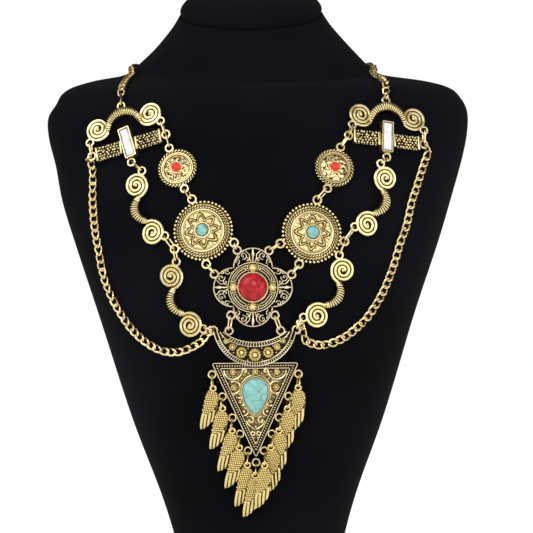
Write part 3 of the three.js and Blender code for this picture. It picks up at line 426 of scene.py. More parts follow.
class Work:
    """The closed surfaces of one piece: points in millimetres, corners of faces, the polish of each point,
    from 0 in the dark hollows to 1 on the rubbed crests, which on the crystals is painted light and shade of
    their facets instead, and its tint, 1 where the metal is the warmer."""

    def __init__(self):
        self.points, self.quads, self.tris, self.polish, self.tints, self.count = [], [], [], [], [], 0
        self.tint = 0.0

    def add(self, points, quads, tris, polish):
        self.points.append(points)
        self.quads.append(quads + self.count)
        self.tris.append(tris + self.count)
        self.polish.append(np.broadcast_to(polish, (len(points),)))
        self.tints.append(np.full(len(points), self.tint))
        self.count += len(points)

    def rings(self, rings, polish=1.0, wrap=False):
        """Joins rings of points, (rings, points, 3). wrap joins the last ring to the first; otherwise each
        end is closed on a pole at its middle. The surface is turned outwards by the sign of its volume."""
        rings = np.asarray(rings, float)
        rows, columns = rings.shape[:2]
        polish = np.broadcast_to(polish, (rows, columns)).ravel()
        points = rings.reshape(-1, 3)
        index = np.arange(rows * columns).reshape(rows, columns)
        low = index if wrap else index[:-1]
        high = np.roll(index, -1, 0) if wrap else index[1:]
        quads = np.stack([low, np.roll(low, -1, 1), np.roll(high, -1, 1), high], -1).reshape(-1, 4)
        tris = np.empty((0, 3), int)
        if not wrap:
            points = np.concatenate([points, [rings[0].mean(0), rings[-1].mean(0)]])
            polish = np.concatenate([polish, [polish[:columns].mean(), polish[-columns:].mean()]])
            first, last = index[0], index[-1]
            tris = np.concatenate([
                np.stack([np.roll(first, -1), first, np.full(columns, rows * columns)], -1),
                np.stack([last, np.roll(last, -1), np.full(columns, rows * columns + 1)], -1)])
        p = points - points.mean(0)
        volume = sum((p[a] * np.cross(p[b], p[c])).sum() for a, b, c in (
            (quads[:, 0], quads[:, 1], quads[:, 2]), (quads[:, 0], quads[:, 2], quads[:, 3]), tris.T))
        if volume < 0:
            quads, tris = quads[:, ::-1], tris[:, ::-1]
        self.add(points, quads, tris, polish)

    def wire(self, path, radius, up=(0, 0, 1), sides=8, closed=False, flat=1.0, ripple=None, low=0.25,
             high=1.0):
        """A tube whose polish rises from low at its underside to high at its top, and falls in ripples."""
        rings, phi, worn = tube(path, radius, up, sides, closed, flat, ripple)
        polish = low + (high - low) * np.clip(0.5 + 0.8 * np.sin(phi), 0, 1)
        if ripple is not None:
            polish = polish * ((worn - worn.min()) / np.ptp(worn)) ** 1.8
        self.rings(rings, polish, wrap=closed)

    def hoop(self, radius, w, wire, low=0.0, steps=80, sides=8, u=0.0, v=0.0):
        """A round of wire in the plane of the ornament."""
        self.wire(circle(radius, steps, u, v, w), wire, sides=sides, closed=True, low=low)

    def rope(self, path, radius, pitch, depth):
        """Two strands twisted together along a closed line, a whole number of times."""
        path = rejoined(path)
        length = along(path)[-1]
        path = evenly(path, max(8, int(6 * length / pitch)))[:-1]
        own_pitch = length / max(round(length / pitch), 1)
        self.wire(path, radius, closed=True, ripple=twisted(own_pitch, depth))

    def turned(self, profile, segments, u=0.0, v=0.0, wobble=None):
        """A turned body: (radius, w, polish) rows carried round the w axis, from the middle of its back to
        the middle of its face. wobble(radius, angle) gives what w gains and what multiplies the polish."""
        profile = np.asarray(profile, float)
        angle = np.arange(segments) * TURN / segments
        r, w, shine = (profile[:, i:i + 1] + 0 * angle for i in range(3))
        if wobble is not None:
            extra, mark = wobble(r, angle[None, :])
            w, shine = w + extra, shine * mark
        self.rings(np.stack([u + r * np.cos(angle), v + r * np.sin(angle), w], -1), shine)

    def plate(self, outline, levels, middle):
        """A star-shaped outline at (scale, w, polish) levels about a middle."""
        outline = np.asarray(outline, float) - middle
        self.rings([raised(outline * scale + middle, w) for scale, w, _ in levels],
                   np.array([[shine] for *_, shine in levels]))

    def beads(self, centres, radius, height=1.0, sides=6, rows=3, low=0.15):
        """The same small dome at many places: rings of radius cos(a) at height sin(a), closed below."""
        centres = np.asarray(centres, float)
        radius = np.broadcast_to(np.asarray(radius, float), (len(centres),))[:, None, None, None]
        a = np.linspace(0, math.pi / 2, rows + 1)[:-1]
        phi = np.arange(sides) * TURN / sides
        ring = np.stack([np.cos(a)[:, None] * np.cos(phi), np.cos(a)[:, None] * np.sin(phi),
                         height * np.sin(a)[:, None] + 0 * phi], -1)
        points = centres[:, None, None] + ring * radius
        poles = np.stack([centres - UP * radius[:, 0, 0] * 0.2, centres + UP * radius[:, 0, 0] * height], 1)
        index = np.arange(rows * sides).reshape(rows, sides)
        quads = np.stack([index[:-1], np.roll(index[:-1], -1, 1), np.roll(index[1:], -1, 1), index[1:]], -1)
        base = np.stack([np.roll(index[0], -1), index[0], np.full(sides, rows * sides)], -1)
        cap = np.stack([index[-1], np.roll(index[-1], -1), np.full(sides, rows * sides + 1)], -1)
        shift = (np.arange(len(centres)) * (rows * sides + 2))[:, None, None]
        polish = np.concatenate([np.repeat(low + (1 - low) * np.sin(a) ** 0.7, sides), [low, 1.0]])
        self.add(np.concatenate([points.reshape(len(centres), -1, 3), poles], 1).reshape(-1, 3),
                 (quads.reshape(-1, 4)[None] + shift).reshape(-1, 4),
                 (np.concatenate([base, cap])[None] + shift).reshape(-1, 3),
                 np.tile(polish, len(centres)))

    def moved(self, place):
        """Lays the work on the bust."""
        self.points = [place.at(p) for p in self.points]
        return self

    def mesh(self, name, sharp):
        """The mesh, in metres, smooth but for its edges over sharp degrees."""
        points = np.concatenate(self.points) * MM
        quads, tris = np.concatenate(self.quads), np.concatenate(self.tris)
        mesh = bpy.data.meshes.new(name)
        mesh.vertices.add(len(points))
        mesh.vertices.foreach_set("co", points.astype(np.float32).ravel())
        corners = np.concatenate([quads.ravel(), tris.ravel()])
        mesh.loops.add(len(corners))
        mesh.loops.foreach_set("vertex_index", corners.astype(np.int32))
        sizes = np.repeat([4, 3], [len(quads), len(tris)])
        mesh.polygons.add(len(sizes))
        mesh.polygons.foreach_set("loop_start", (np.cumsum(sizes) - sizes).astype(np.int32))
        mesh.update(calc_edges=True)
        if mesh.validate():
            raise ValueError(f"{name} has faces that don't hold")
        # on the metal this is polish; on the crystals it is painted light and shade of their facets
        for key, values in (("polish", self.polish), ("tint", self.tints)):
            own = mesh.attributes.new(key, "FLOAT", "POINT")
            own.data.foreach_set("value", np.concatenate(values).astype(np.float32))
        mesh.shade_smooth()
        mesh.set_sharp_from_angle(angle=sharp * RAD)
        return mesh

    def piece(self, name, finish, node, sharp=40):
        """Makes the object and hands it to the frame in place of its node."""
        mesh = self.mesh(name, sharp)
        mesh.materials.append(MATERIALS[finish])
        piece, slot = added(name, mesh), SLOTS.get(finish, finish)
        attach(piece, "root")
        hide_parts(node)


# ---- finishes ----

MATERIALS = {}
# the record's material for each finish of another name
SLOTS = {"antique": "antique_gold", "pale": "antique_gold", "red": "red_stone", "wing": "wing_gold",
         "chain": "chain_gold"}


class Graph:
    """A material's nodes, added and joined by name."""

    def __init__(self, name):
        self.material = bpy.data.materials.get(name) or bpy.data.materials.new(name)
        self.material.use_nodes = True
        self.nodes, self.links = self.material.node_tree.nodes, self.material.node_tree.links
        self.nodes.clear()
        self.shader = self.add("ShaderNodeBsdfPrincipled")
        output = self.add("ShaderNodeOutputMaterial")
        self.feed(output.inputs["Surface"], self.shader.outputs["BSDF"])
        self.place = self.add("ShaderNodeTexCoord").outputs["Object"]

    def add(self, kind, **settings):
        node = self.nodes.new(kind)
        for key, value in settings.items():
            setattr(node, key, value)
        return node

    def feed(self, socket, value):
        """Joins an output to a socket, or sets the socket to a constant."""
        if isinstance(value, bpy.types.NodeSocket):
            self.links.new(value, socket)
        else:
            socket.default_value = value

    def attribute(self, name):
        return self.add("ShaderNodeAttribute", attribute_name=name).outputs["Fac"]

    def noise(self, scale, detail=3.0, rough=0.5, output="Fac"):
        node = self.add("ShaderNodeTexNoise")
        for key, value in (("Vector", self.place), ("Scale", scale), ("Detail", detail),
                           ("Roughness", rough)):
            self.feed(node.inputs[key], value)
        return node.outputs[output]

    def math(self, operation, a, b):
        node = self.add("ShaderNodeMath", operation=operation)
        self.feed(node.inputs[0], a)
        self.feed(node.inputs[1], b)
        return node.outputs[0]

    def fit(self, value, low, high, to_low=0.0, to_high=1.0):
        """value smoothly carried from low..high to to_low..to_high."""
        node = self.add("ShaderNodeMapRange", interpolation_type="SMOOTHSTEP")
        for i, v in enumerate((value, low, high, to_low, to_high)):
            self.feed(node.inputs[i], v)
        return node.outputs[0]

    def blend(self, factor, a, b):
        """Two colours mixed by a factor."""
        node = self.add("ShaderNodeMix", data_type="RGBA")
        for key, value in (("Factor", factor), (6, a), (7, b)):
            self.feed(node.inputs[key], value)
        return node.outputs[2]

    def bump(self, height, strength, distance):
        node = self.add("ShaderNodeBump")
        for key, value in (("Strength", strength), ("Distance", distance), ("Height", height)):
            self.feed(node.inputs[key], value)
        self.feed(self.shader.inputs["Normal"], node.outputs["Normal"])

    def set(self, **values):
        """Values of the shader's sockets, with _ for a space in their names."""
        for key, value in values.items():
            self.feed(self.shader.inputs[key.replace("_", " ")], value)
        return self.material


def rgba(color, share=1.0):
    return (*(share * c for c in color), 1.0)


def worn_metal(name, crest, deep, patina, fill, rough=0.24, warm=None):
    """Cast metal with dark patina in its hollows: polish plus fine noise carries the colour from patina
    through the deep tone to the crest. fill raises the patina's level. Where tint is 1 the metal takes the
    warm pair of tones."""
    g = Graph(name)
    polish, tint = g.attribute("polish"), g.attribute("tint")
    grain = g.noise(1500, 4, 0.6)
    wear = g.math("ADD", polish, g.fit(grain, 0.25, 0.75, -0.1, 0.1))
    mask = g.fit(wear, fill - 0.16, fill + 0.16)
    tones = [g.blend(tint, own, other) for own, other in zip((deep, crest), warm or (deep, crest))]
    blotch = g.math("ADD", wear, g.fit(g.noise(240, 2), 0.35, 0.65, -0.12, 0.05))
    metal = g.blend(g.fit(blotch, fill + 0.02, fill + 0.42), *tones)
    g.bump(g.noise(2600, 2, 0.6), 0.2, 0.0001)
    rub = g.math("ADD", mask, g.fit(grain, 0.3, 0.7, -0.15, 0.15))
    return g.set(Base_Color=g.blend(mask, patina, metal), Metallic=g.fit(mask, 0, 1, 0.5, 1.0),
                 Specular_IOR_Level=g.fit(mask, 0, 1, 0.2, 0.5), Roughness=g.fit(rub, 0, 1, 0.6, rough))


def veined_stone(name, light, dark, vein, scale, width, rough=0.28):
    """A polished stone: blotches of two tones, crossed by thin veins along the edges of distorted cells."""
    g = Graph(name)
    blotch = g.fit(g.noise(scale * 1.6, 4, 0.6), 0.35, 0.68)
    bend = g.add("ShaderNodeVectorMath", operation="MULTIPLY_ADD")
    for i, value in enumerate((g.noise(scale * 1.2, 2, output="Color"), (0.6 / scale,) * 3, g.place)):
        g.feed(bend.inputs[i], value)
    cells = g.add("ShaderNodeTexVoronoi", feature="DISTANCE_TO_EDGE")
    g.feed(cells.inputs["Vector"], bend.outputs[0])
    g.feed(cells.inputs["Scale"], scale)
    thin = g.math("MULTIPLY", g.fit(cells.outputs["Distance"], 0.0, width, 1.0, 0.0),
                  g.fit(g.noise(scale * 0.8, 2), 0.3, 0.46))
    g.bump(g.noise(scale * 4, 2), 0.08, 0.0001)
    return g.set(Base_Color=g.blend(thin, g.blend(blotch, light, dark), vein),
                 Roughness=g.fit(blotch, 0, 1, rough, rough + 0.12), Specular_IOR_Level=0.3)


def velvet(name, color, sheen):
    """Black pile: a soft sheen over a dark ground that varies a little where the pile lies another way."""
    g = Graph(name)
    lie = g.fit(g.noise(14, 3), 0.3, 0.7)
    g.bump(g.noise(2200, 3, 0.7), 0.5, 0.0003)
    return g.set(Base_Color=g.blend(lie, rgba(color), rgba(color, 1.9)), Roughness=0.95, Sheen_Weight=sheen,
                 Sheen_Roughness=0.5, Sheen_Tint=(0.62, 0.68, 0.8, 1.0), Specular_IOR_Level=0.03)


def cut_crystal(name, color):
    """A foiled glass stone with painted light and shade: its polish values paint its facets brighter and
    darker in its colour, with faint darker streaks.
    """
    g = Graph(name)
    dark_streaks = g.fit(g.noise(260, 3), 0.35, 0.65, -0.5, 0.15)
    # painted light and shade of the facets, from the polish values, darkened in faint streaks
    shade = g.fit(g.math("ADD", g.attribute("polish"), dark_streaks), 0, 1)
    return g.set(Base_Color=g.blend(shade, rgba(color, 0.5), rgba(color)), Roughness=0.12, Coat_Weight=0.5,
                 Coat_Roughness=0.05, IOR=1.5)


def plain_floor(name, color):
    """A matt pale floor with a faint unevenness."""
    g = Graph(name)
    uneven = g.fit(g.noise(9, 2), 0.3, 0.7)
    return g.set(Base_Color=g.blend(uneven, rgba(color), rgba(color, 0.97)), Roughness=0.9,
                 Specular_IOR_Level=0.2)


# ---- parts that several ornaments share ----

SCROLL_WIRE, SCROLL_PITCH, SCROLL_OUTER, SCROLL_TURNS, SCROLL_HEIGHT = 0.8, 1.75, 5.75, 2.75, 1.1
WINDING, WINDING_DEPTH = 1.02, 0.28
BINDINGS = (0.055, 0.095, 0.135, 0.865, 0.905, 0.945)
# radius and height in shares of the floret's size, polish
FLORET_FACE = ((0.92, 0.2, 0.8), (0.72, 0.34, 1), (0.5, 0.3, 0.85), (0.42, 0.2, 0))


def cast_loop(work, u, v, radius=LOOP_RADIUS, wire=LOOP_WIRE, w=LOOP_HEIGHT):
    """A round loop in the plane of its ornament."""
    work.hoop(radius, w, wire, 0.35, 22, u=u, v=v)


def cast_loops(work, name, grow=0.0):
    """All the loops of an ornament."""
    for u, v in LOOPS[name].values():
        cast_loop(work, u, v, LOOP_RADIUS + grow)


def scroll(work, u, v, start, hand):
    """A flat spiral of wire, r = outer - pitch turns, over a dark floor, with a dot in its middle."""
    def spiral(turns):
        return polar(1, start + hand * 360 * turns) * (SCROLL_OUTER - SCROLL_PITCH * turns)[:, None] + [u, v]
    turns = np.linspace(0, SCROLL_TURNS, 84)
    radius = 0.7 * np.clip(0.6 + 4 * (SCROLL_TURNS - turns), 0, 1)
    work.wire(raised(spiral(turns), SCROLL_HEIGHT), radius, flat=1.12, low=0.0)
    work.plate(spiral(np.arange(40) / 40), [(0.94, 0.25, 0), (0.96, 0.7, 0), (0.5, 0.75, 0)], (u, v))
    work.beads([(u, v, SCROLL_HEIGHT - 0.1)], 0.82, 1.0, 12, 4, 0.2)


def wound_rod(work, line, fat):
    """A bent rod, thin at its ends and fat in the middle by the sine of its length to the power 0.8, wound
    with fine wire and bound with a few thicker turns at both ends."""
    path = evenly(smooth(raised(line, 0.0), 60), 190)
    share = np.linspace(0, 1, len(path))
    radius = SCROLL_WIRE + (fat - SCROLL_WIRE) * np.sin(math.pi * share) ** 0.8
    path[:, 2] = np.maximum(radius, SCROLL_HEIGHT)
    work.wire(path, radius, sides=16, ripple=wound(WINDING, WINDING_DEPTH), low=0.85, high=1.7)
    tangent = unit(np.gradient(path, axis=0))
    for place in BINDINGS:
        i = round(place * (len(path) - 1))
        t = tangent[i]
        up = unit(UP - t * t[2])
        binding = Place(path[i], np.cross(up, t), up, t)
        work.wire(binding.at(circle(radius[i] + 0.02, 14)), 0.34, up=t, sides=6, closed=True, low=0.75)


def floret(work, u, v, size, base, petals):
    """A round flower: a bossed disc with a ring of petals, w raised by |cos| of half the petals' angle, and
    a bead in its middle."""
    def wobble(r, angle):
        lobes = np.abs(np.cos(petals * angle / 2)) ** 0.7
        share = np.clip((r / size - 0.4) / 0.25, 0, 1) * np.clip((1.08 - r / size) / 0.2, 0, 1)
        return 0.22 * size * share * lobes, 1 - 0.6 * share * (1 - lobes)
    face = [(size * r, base + size * w, shine) for r, w, shine in FLORET_FACE]
    profile = [(0.01, base - 0.5, 0), (size, base - 0.5, 0), (size, base, 0.1), *face,
               (0.01, base + 0.2 * size, 0.1)]
    tint, work.tint = work.tint, 1.0
    work.turned(profile, petals * 6, u, v, wobble)
    work.beads([(u, v, base + 0.2 * size)], size * 0.42, 1.1, 10, 4, 0.3)
    work.tint = tint


def curl(work, u, v, radius, turn, hand, wire, w, turns, tail=0.0):
    """A small scroll of fine wire that winds in, r = radius (1 - 0.72 share), after a straight tail."""
    share = np.linspace(0, 1, 22)
    line = polar(1, turn + hand * 360 * turns * share) * (radius * (1 - 0.72 * share))[:, None]
    if tail:
        back = np.linspace(tail, 0, 4, endpoint=False)[:, None] * unit(line[0] - line[1])
        line = np.concatenate([line[0] + back, line])
    work.wire(raised(line + [u, v], w), wire, sides=6, low=0.3)
    work.beads([(u, v, w - 0.05)], wire * 1.5)


def slab(work, half_u, half_v, radius, levels, u=0.0, v=0.0, way=0.0):
    """A rectangle with quarter-circle corners, turned by way, carried through (inset, w, polish) levels."""
    rings = []
    for inset, w, _ in levels:
        r = max(radius - inset, 0.03)
        a, b = half_u - inset - r, half_v - inset - r
        corners = [arc(r, start, start + 90, 4, cu, cv, w)
                   for cu, cv, start in ((a, b, 0), (-a, b, 90), (-a, -b, 180), (a, -b, 270))]
        rings.append(placed(np.concatenate(corners), u, v, way))
    work.rings(rings, np.array([[shine] for *_, shine in levels]))


def dome(foot, radius, girdle, height, start=0, steps=9):
    """A round stone's rows: its foot, then a quarter of an ellipse from the girdle to the top."""
    t = np.linspace(start, 90, steps)[:-1] * RAD
    rows = [(0.01, foot[0][1]), *foot, *zip(radius * np.cos(t), girdle + height * np.sin(t)),
            (0.01, girdle + height)]
    return [(r, w, 1) for r, w in rows]


def turned_stone(ornament, rows, segments, name, finish, node):
    """A stone in the middle of its ornament."""
    stone = Work()
    stone.turned(rows, segments)
    stone.moved(PLACES[ornament]).piece(name, finish, node)


# ---- the bust ----

BUST_SECTIONS, BUST_SIDES, BUST_INSET, BUST_EASING = 190, 176, 0.3, 14


def bust_rows():
    """Sections between the bust's own by Catmull-Rom, each a superellipse x = h |cos|^(2/n) and
    y = d |sin|^(2/n), with its own depth to the front and to the back, tipped about its widest line. The
    table is drawn in a little, and each point of the front is eased towards the mean of those above and
    below it."""
    angle = np.arange(BUST_SIDES) * TURN / BUST_SIDES
    c, s = np.cos(angle), np.sin(angle)
    table = smooth(BUST, BUST_SECTIONS)
    middle, z, half, front, side, back, power, lean = (column[:, None] for column in table.T)
    x = middle + (half - BUST_INSET) * np.sign(c) * np.abs(c) ** (2 / power)
    depth = np.where(s < 0, side - front, back - side) - BUST_INSET
    y = side + depth * np.sign(s) * np.abs(s) ** (2 / power)
    rows = np.stack([x, y, z + (y - side) * np.tan(lean * RAD)], -1)
    front = np.clip(-s, 0, 1)[None, :, None]
    for _ in range(BUST_EASING):
        eased = rows[1:-1] / 2 + (rows[:-2] + rows[2:]) / 4
        rows[1:-1] += front * (eased - rows[1:-1])
    return rows


BUST_ROWS = bust_rows()


def velvet_surface():
    """The velvet's body as a search tree, in millimetres."""
    i, j = np.meshgrid(np.arange(BUST_SECTIONS - 1) * BUST_SIDES, np.arange(BUST_SIDES), indexing="ij")
    k = (j + 1) % BUST_SIDES
    quads = np.stack([i + j, i + k, i + BUST_SIDES + k, i + BUST_SIDES + j], -1).reshape(-1, 4)
    return BVHTree.FromPolygons(BUST_ROWS.reshape(-1, 3).tolist(), quads.tolist())


VELVET = velvet_surface()
# share of the top section, rise above it
CAP = [(1.0, -1.0), (0.992, -0.7), (0.972, -0.75), (0.965, -0.4), (0.972, -0.05), (0.988, 0.5), (0.998, 1.4),
       (0.998, 2.5), (0.985, 3.6), (0.965, 4.6), (0.93, 6.0), (0.87, 7.6), (0.76, 9.2), (0.6, 10.4),
       (0.4, 11.2), (0.2, 11.6)]
# share of the foot's radii, height
FOOT_ROWS = [(1.0, 0.0), (1.0, 1.2), (0.985, 2.2), (0.955, 3.0), (0.92, 6.0), (0.89, 14.0), (0.85, 25.0),
             (0.78, 36.0), (0.68, 44.0)]


def make_bust():
    """The velvet bust: its body closed above by a rounded lip and a padded cap with a groove, and a foot."""
    work = Work()
    top = BUST_ROWS[-1]
    middle = top.mean(0)
    up = unit([0, -math.tan(BUST[-1, -1] * RAD), 1])
    body = [row for row in BUST_ROWS[:-1] if row[:, 2].min() >= 0]
    work.rings(body + [middle + (top - middle) * share + up * rise for share, rise in CAP])
    work.rings([circle(1, 64) * [share * FOOT["rx"], share * FOOT["ry"], 0] + [FOOT["x"], FOOT["y"], height]
                for share, height in FOOT_ROWS])
    work.piece("velvet_bust", "velvet", "neck_bust", 60)


# ---- scroll bars and S scrolls ----

ARCH = [(-8.4, -3.2), (-7.2, 0.4), (-4.3, 3.2), (0, 4.5), (4.3, 3.2), (7.2, 0.4), (8.4, -3.2)]
BAR_SCROLL, S_SCROLL = 12.9, 11.9


def make_scroll_bar(side):
    """A wound arch between two scrolls, with three cast loops."""
    name = "scroll_bar_" + side
    work = Work()
    wound_rod(work, ARCH, 2.4)
    scroll(work, BAR_SCROLL, 0, 215, 1)
    scroll(work, -BAR_SCROLL, 0, -35, -1)
    cast_loops(work, name)
    work.moved(PLACES[name]).piece("wound_" + name, "gold", name)


def make_s_scroll(name, hand):
    """A wound bow between two scrolls that turn opposite ways."""
    work = Work()
    wound_rod(work, arc(7.0, 118, 243, 10, 2.9)[:, :2] * [hand, 1], 2.3)
    scroll(work, 0, S_SCROLL, -95 if hand > 0 else 275, hand)
    scroll(work, 0, -S_SCROLL, 100 if hand > 0 else 80, -hand)
    cast_loops(work, name)
    work.moved(PLACES[name]).piece("wound_" + name, "gold", name)


# ---- crossbars ----

# half length, half width, corner, levels of each part of the bar
BAR_CORE = (16.7, 3.0, 0.5, [(0.3, 0.3, 0), (0, 0.5, 0), (0, 1.4, 0), (0.35, 1.8, 0)])
END_COLLAR = (0.6, 3.3, 0.3, [(0.1, 0, 0.2), (0, 0.3, 0.3), (0, 2.2, 0.5), (0.1, 2.45, 0.9), (0.35, 2.6, 1)])
COLLAR = (0.6, 3.2, 0.3, [(0.1, 0, 0.2), (0, 0.3, 0.2), (0, 2.0, 0.4), (0.1, 2.3, 0.8), (0.35, 2.45, 1)])
BEZEL = (2.9, 7.6, 0.6, [(0.1, 0, 0.2), (0, 0.3, 0.3), (0, 2.6, 0.5), (0.05, 3.2, 0.8), (0.2, 3.45, 1),
                         (0.55, 3.45, 1), (0.75, 3.2, 0.3), (0.85, 1.6, 0)])
# the baguette's polish values are painted light and shade: brighter facets towards its table and on the
# edges of its steps
BAGUETTE = (2.0, 6.6, 0.25, [(0.5, 1.7, 0.3), (0, 2.9, 0.5), (0.02, 3.1, 0.8), (0.4, 3.5, 0.75),
                             (0.44, 3.53, 0.95), (0.8, 3.8, 0.85), (0.83, 3.82, 0.95)])
BEZEL_V, BEZEL_TURN = 1.1, {"left": 7, "right": -3}


def nuggets(work, rng):
    """Rough granules, each moved and sized a little by chance: rows set off by half a step over the bar's
    face, and a line along each of its edges, clear of the bezel and the end collars."""
    u, v = np.meshgrid(np.arange(-15.6, 15.7, 1.5), np.arange(-2.5, 2.6, 1.25))
    u = u + 0.75 * (np.arange(len(u))[:, None] % 2)
    spots = np.stack([u.ravel(), v.ravel()], -1) + rng.normal(0, 0.17, (u.size, 2))
    across, up = np.abs(spots).T
    spots = spots[(across > 4.6) & (across < 15.6) & (up < 2.85)]
    size = rng.uniform(0.46, 0.74, len(spots))
    work.beads(raised(spots, 1.6 - 0.05 * np.abs(spots[:, 1])), size, 1.2, 7, 3, 0.2)
    edge = np.arange(-15.0, 15.1, 1.36)
    edge = edge[np.abs(edge) > 5.0]
    for v in (-3.05, 3.05):
        row = np.stack([edge + rng.normal(0, 0.12, len(edge)), np.full(len(edge), v)], -1)
        work.beads(raised(row, 1.0), rng.uniform(0.38, 0.56, len(edge)), 1.2, 6, 3, 0.0)


def make_cross_bar(side):
    """A bar of rough nuggets over a dark ground, smooth collars, and a plain bezel round a long crystal."""
    name, way = "cross_bar_" + side, BEZEL_TURN[side]
    work = Work()
    slab(work, *BAR_CORE)
    nuggets(work, np.random.default_rng(11 if side == "left" else 12))
    for u, collar in ((-15.9, END_COLLAR), (15.9, END_COLLAR), (-3.9, COLLAR), (3.9, COLLAR)):
        slab(work, *collar, u)
    slab(work, *BEZEL, 0, BEZEL_V, way)
    for loop, grow in (("right", 0.1), ("left", 0.1), ("bottom", 0)):
        cast_loop(work, *CROSS_LOOPS[loop], LOOP_RADIUS + grow)
    work.moved(PLACES[name]).piece("nugget_" + name, "antique", name)
    stone = Work()
    # the crystal's facets get painted light and shade from the baguette's polish values
    slab(stone, *BAGUETTE, 0, BEZEL_V, way)
    stone.moved(PLACES[name]).piece("baguette_" + side, "crystal", "crystal_" + side, 15)


# ---- discs ----


def nearest(r, angle, spots):
    """How far each point of a turned face is from the nearest of the spots."""
    x, y = r * np.cos(angle), r * np.sin(angle)
    return np.min(np.hypot(x[..., None] - spots[:, 0], y[..., None] - spots[:, 1]), -1)


PITTED_PETALS = 9


def pitted(work, inner, outer, low, high, seed, count):
    """A domed field from its edge at low to its middle at high, with faint petals, pitted where the nearest
    of many seeded points is close."""
    rng = np.random.default_rng(seed)
    away = np.array([rng.uniform(0, 360, count), rng.uniform(inner ** 2, outer ** 2, count)])
    spots = polar(1, away[0]) * np.sqrt(away[1])[:, None]

    def wobble(r, angle):
        pit = np.exp(-(nearest(r, angle, spots) / 0.25) ** 2)
        wave = 0.5 + 0.5 * np.cos(PITTED_PETALS * angle + 2.2 * np.sin(1.3 * r))
        inside = np.clip((outer - r) / 0.5, 0, 1)
        return inside * (0.3 * wave - 0.34 * pit), np.clip(0.98 - 1.3 * pit - 0.34 * (1 - wave), 0.02, 1)
    r = np.linspace(outer, 0.02, round(outer / 0.2))
    rise = low + (high - low) * (1 - (r / outer) ** 2)
    work.turned([(0.01, 0.0, 0), (outer, 0.0, 0), *zip(r, rise, np.full(len(r), 0.95))], 150, wobble=wobble)


def make_small_disc(side, seed):
    """A disc with a rope edge, two fine rims, a pitted floral field, and a coral bead among granules."""
    name = "small_disc_" + side
    work = Work()
    work.turned([(0.01, 0, 0), (8.5, 0, 0.2), (8.5, 0.9, 0.1), (0.01, 1.0, 0)], 64)
    work.rope(circle(8.35, 64, w=1.1), 0.85, 1.5, 0.55)
    work.hoop(7.2, 1.5, 0.27, 0.3)
    work.hoop(6.5, 1.6, 0.2)
    pitted(work, 2.9, 6.3, 1.3, 2.5, seed, 95)
    work.beads(circle(2.62, 15, w=2.35), 0.42)
    cast_loops(work, name)
    work.moved(PLACES[name]).piece("roped_" + name, "gold", name)
    rows = dome([(1.9, 2.1)], 2.15, 2.6, 2.0)
    turned_stone(name, rows, 28, "coral_dot_" + side, "coral", "coral_bead_" + side)


def star_line(angle):
    """The radius of an eight-pointed wavy star: a rounded zigzag, asin of the cosine of eight times the
    angle."""
    return 6.15 + 1.75 * (2 / math.pi) * np.arcsin(0.97 * np.cos(8 * angle + 0.35 * np.sin(3 * angle)))


# radius, number, first angle of the bumps between and round the star's points
STAR_BUMPS = ((7.75, 8, 22.5), (5.5, 8, 0), (8.1, 16, 11))


def star_field(work, turn, rng):
    """A domed field with a ridge and two grooves along the star, and bumps between and round its points."""
    spots = np.concatenate([polar(radius, np.arange(count) * 360 / count + first + turn)
                            for radius, count, first in STAR_BUMPS])
    spots = spots + rng.normal(0, 0.12, spots.shape)

    def wobble(r, angle):
        away = np.abs(r - star_line(angle - turn * RAD))
        ridge = np.exp(-(away / 0.36) ** 2)
        groove = np.exp(-((away - 0.8) / 0.26) ** 2)
        bump = np.exp(-(nearest(r, angle, spots) / 0.55) ** 2)
        inside = np.clip((8.7 - r) / 0.3, 0, 1) * np.clip((r - 3.4) / 0.4, 0, 1)
        return (inside * (0.42 * ridge + 0.38 * bump - 0.2 * groove),
                np.clip(0.6 + 0.6 * ridge + 0.5 * bump - 0.7 * groove * inside, 0.02, 1))
    r = np.linspace(8.9, 3.2, 40)
    rise = 1.9 + 1.25 * (1 - (r / 8.9) ** 2)
    work.turned([(0.01, 0.5, 0), (8.9, 0.5, 0), *zip(r, rise, np.full(len(r), 0.95)), (3.0, 3.0, 0),
                 (0.01, 3.0, 0)], 176, wobble=wobble)


def make_large_disc(side, turn):
    """A disc with a bead edge, a double rope, a smooth rim and a field with a raised star round a small
    turquoise."""
    name = "large_disc_" + side
    work = Work()
    work.turned([(0.01, 0, 0), (12.6, 0, 0), (13.1, 0.35, 0.1), (12.8, 0.9, 0), (10, 1.2, 0),
                 (0.01, 1.3, 0)], 72)
    work.beads(circle(13.2, 45, w=0.75), 0.8, 1.15, 8, 4, 0.1)
    work.rope(circle(11.75, 72, w=1.25), 0.66, 1.35, 0.5)
    work.rope(circle(10.6, 72, w=1.6), 0.66, 1.3, 0.5)
    work.hoop(9.55, 2.1, 0.48, 0.2, 96, 10)
    work.hoop(8.75, 2.15, 0.18, 0.0, 96, 6)
    star_field(work, turn, np.random.default_rng(5 if side == "left" else 6))
    work.hoop(3.35, 3.35, 0.42, 0.2, 40)
    work.hoop(4.2, 2.95, 0.22, 0.2, 40, 6)
    cast_loops(work, name, 0.1)
    work.moved(PLACES[name]).piece("beaded_" + name, "gold", name)
    rows = dome([(2.5, 3.2)], 2.72, 3.7, 1.7)
    turned_stone(name, rows, 32, "turquoise_dot_" + side, "turquoise", "turquoise_" + side)


# ---- the medallion ----

QUARTERS = (0, 90, 180, 270)
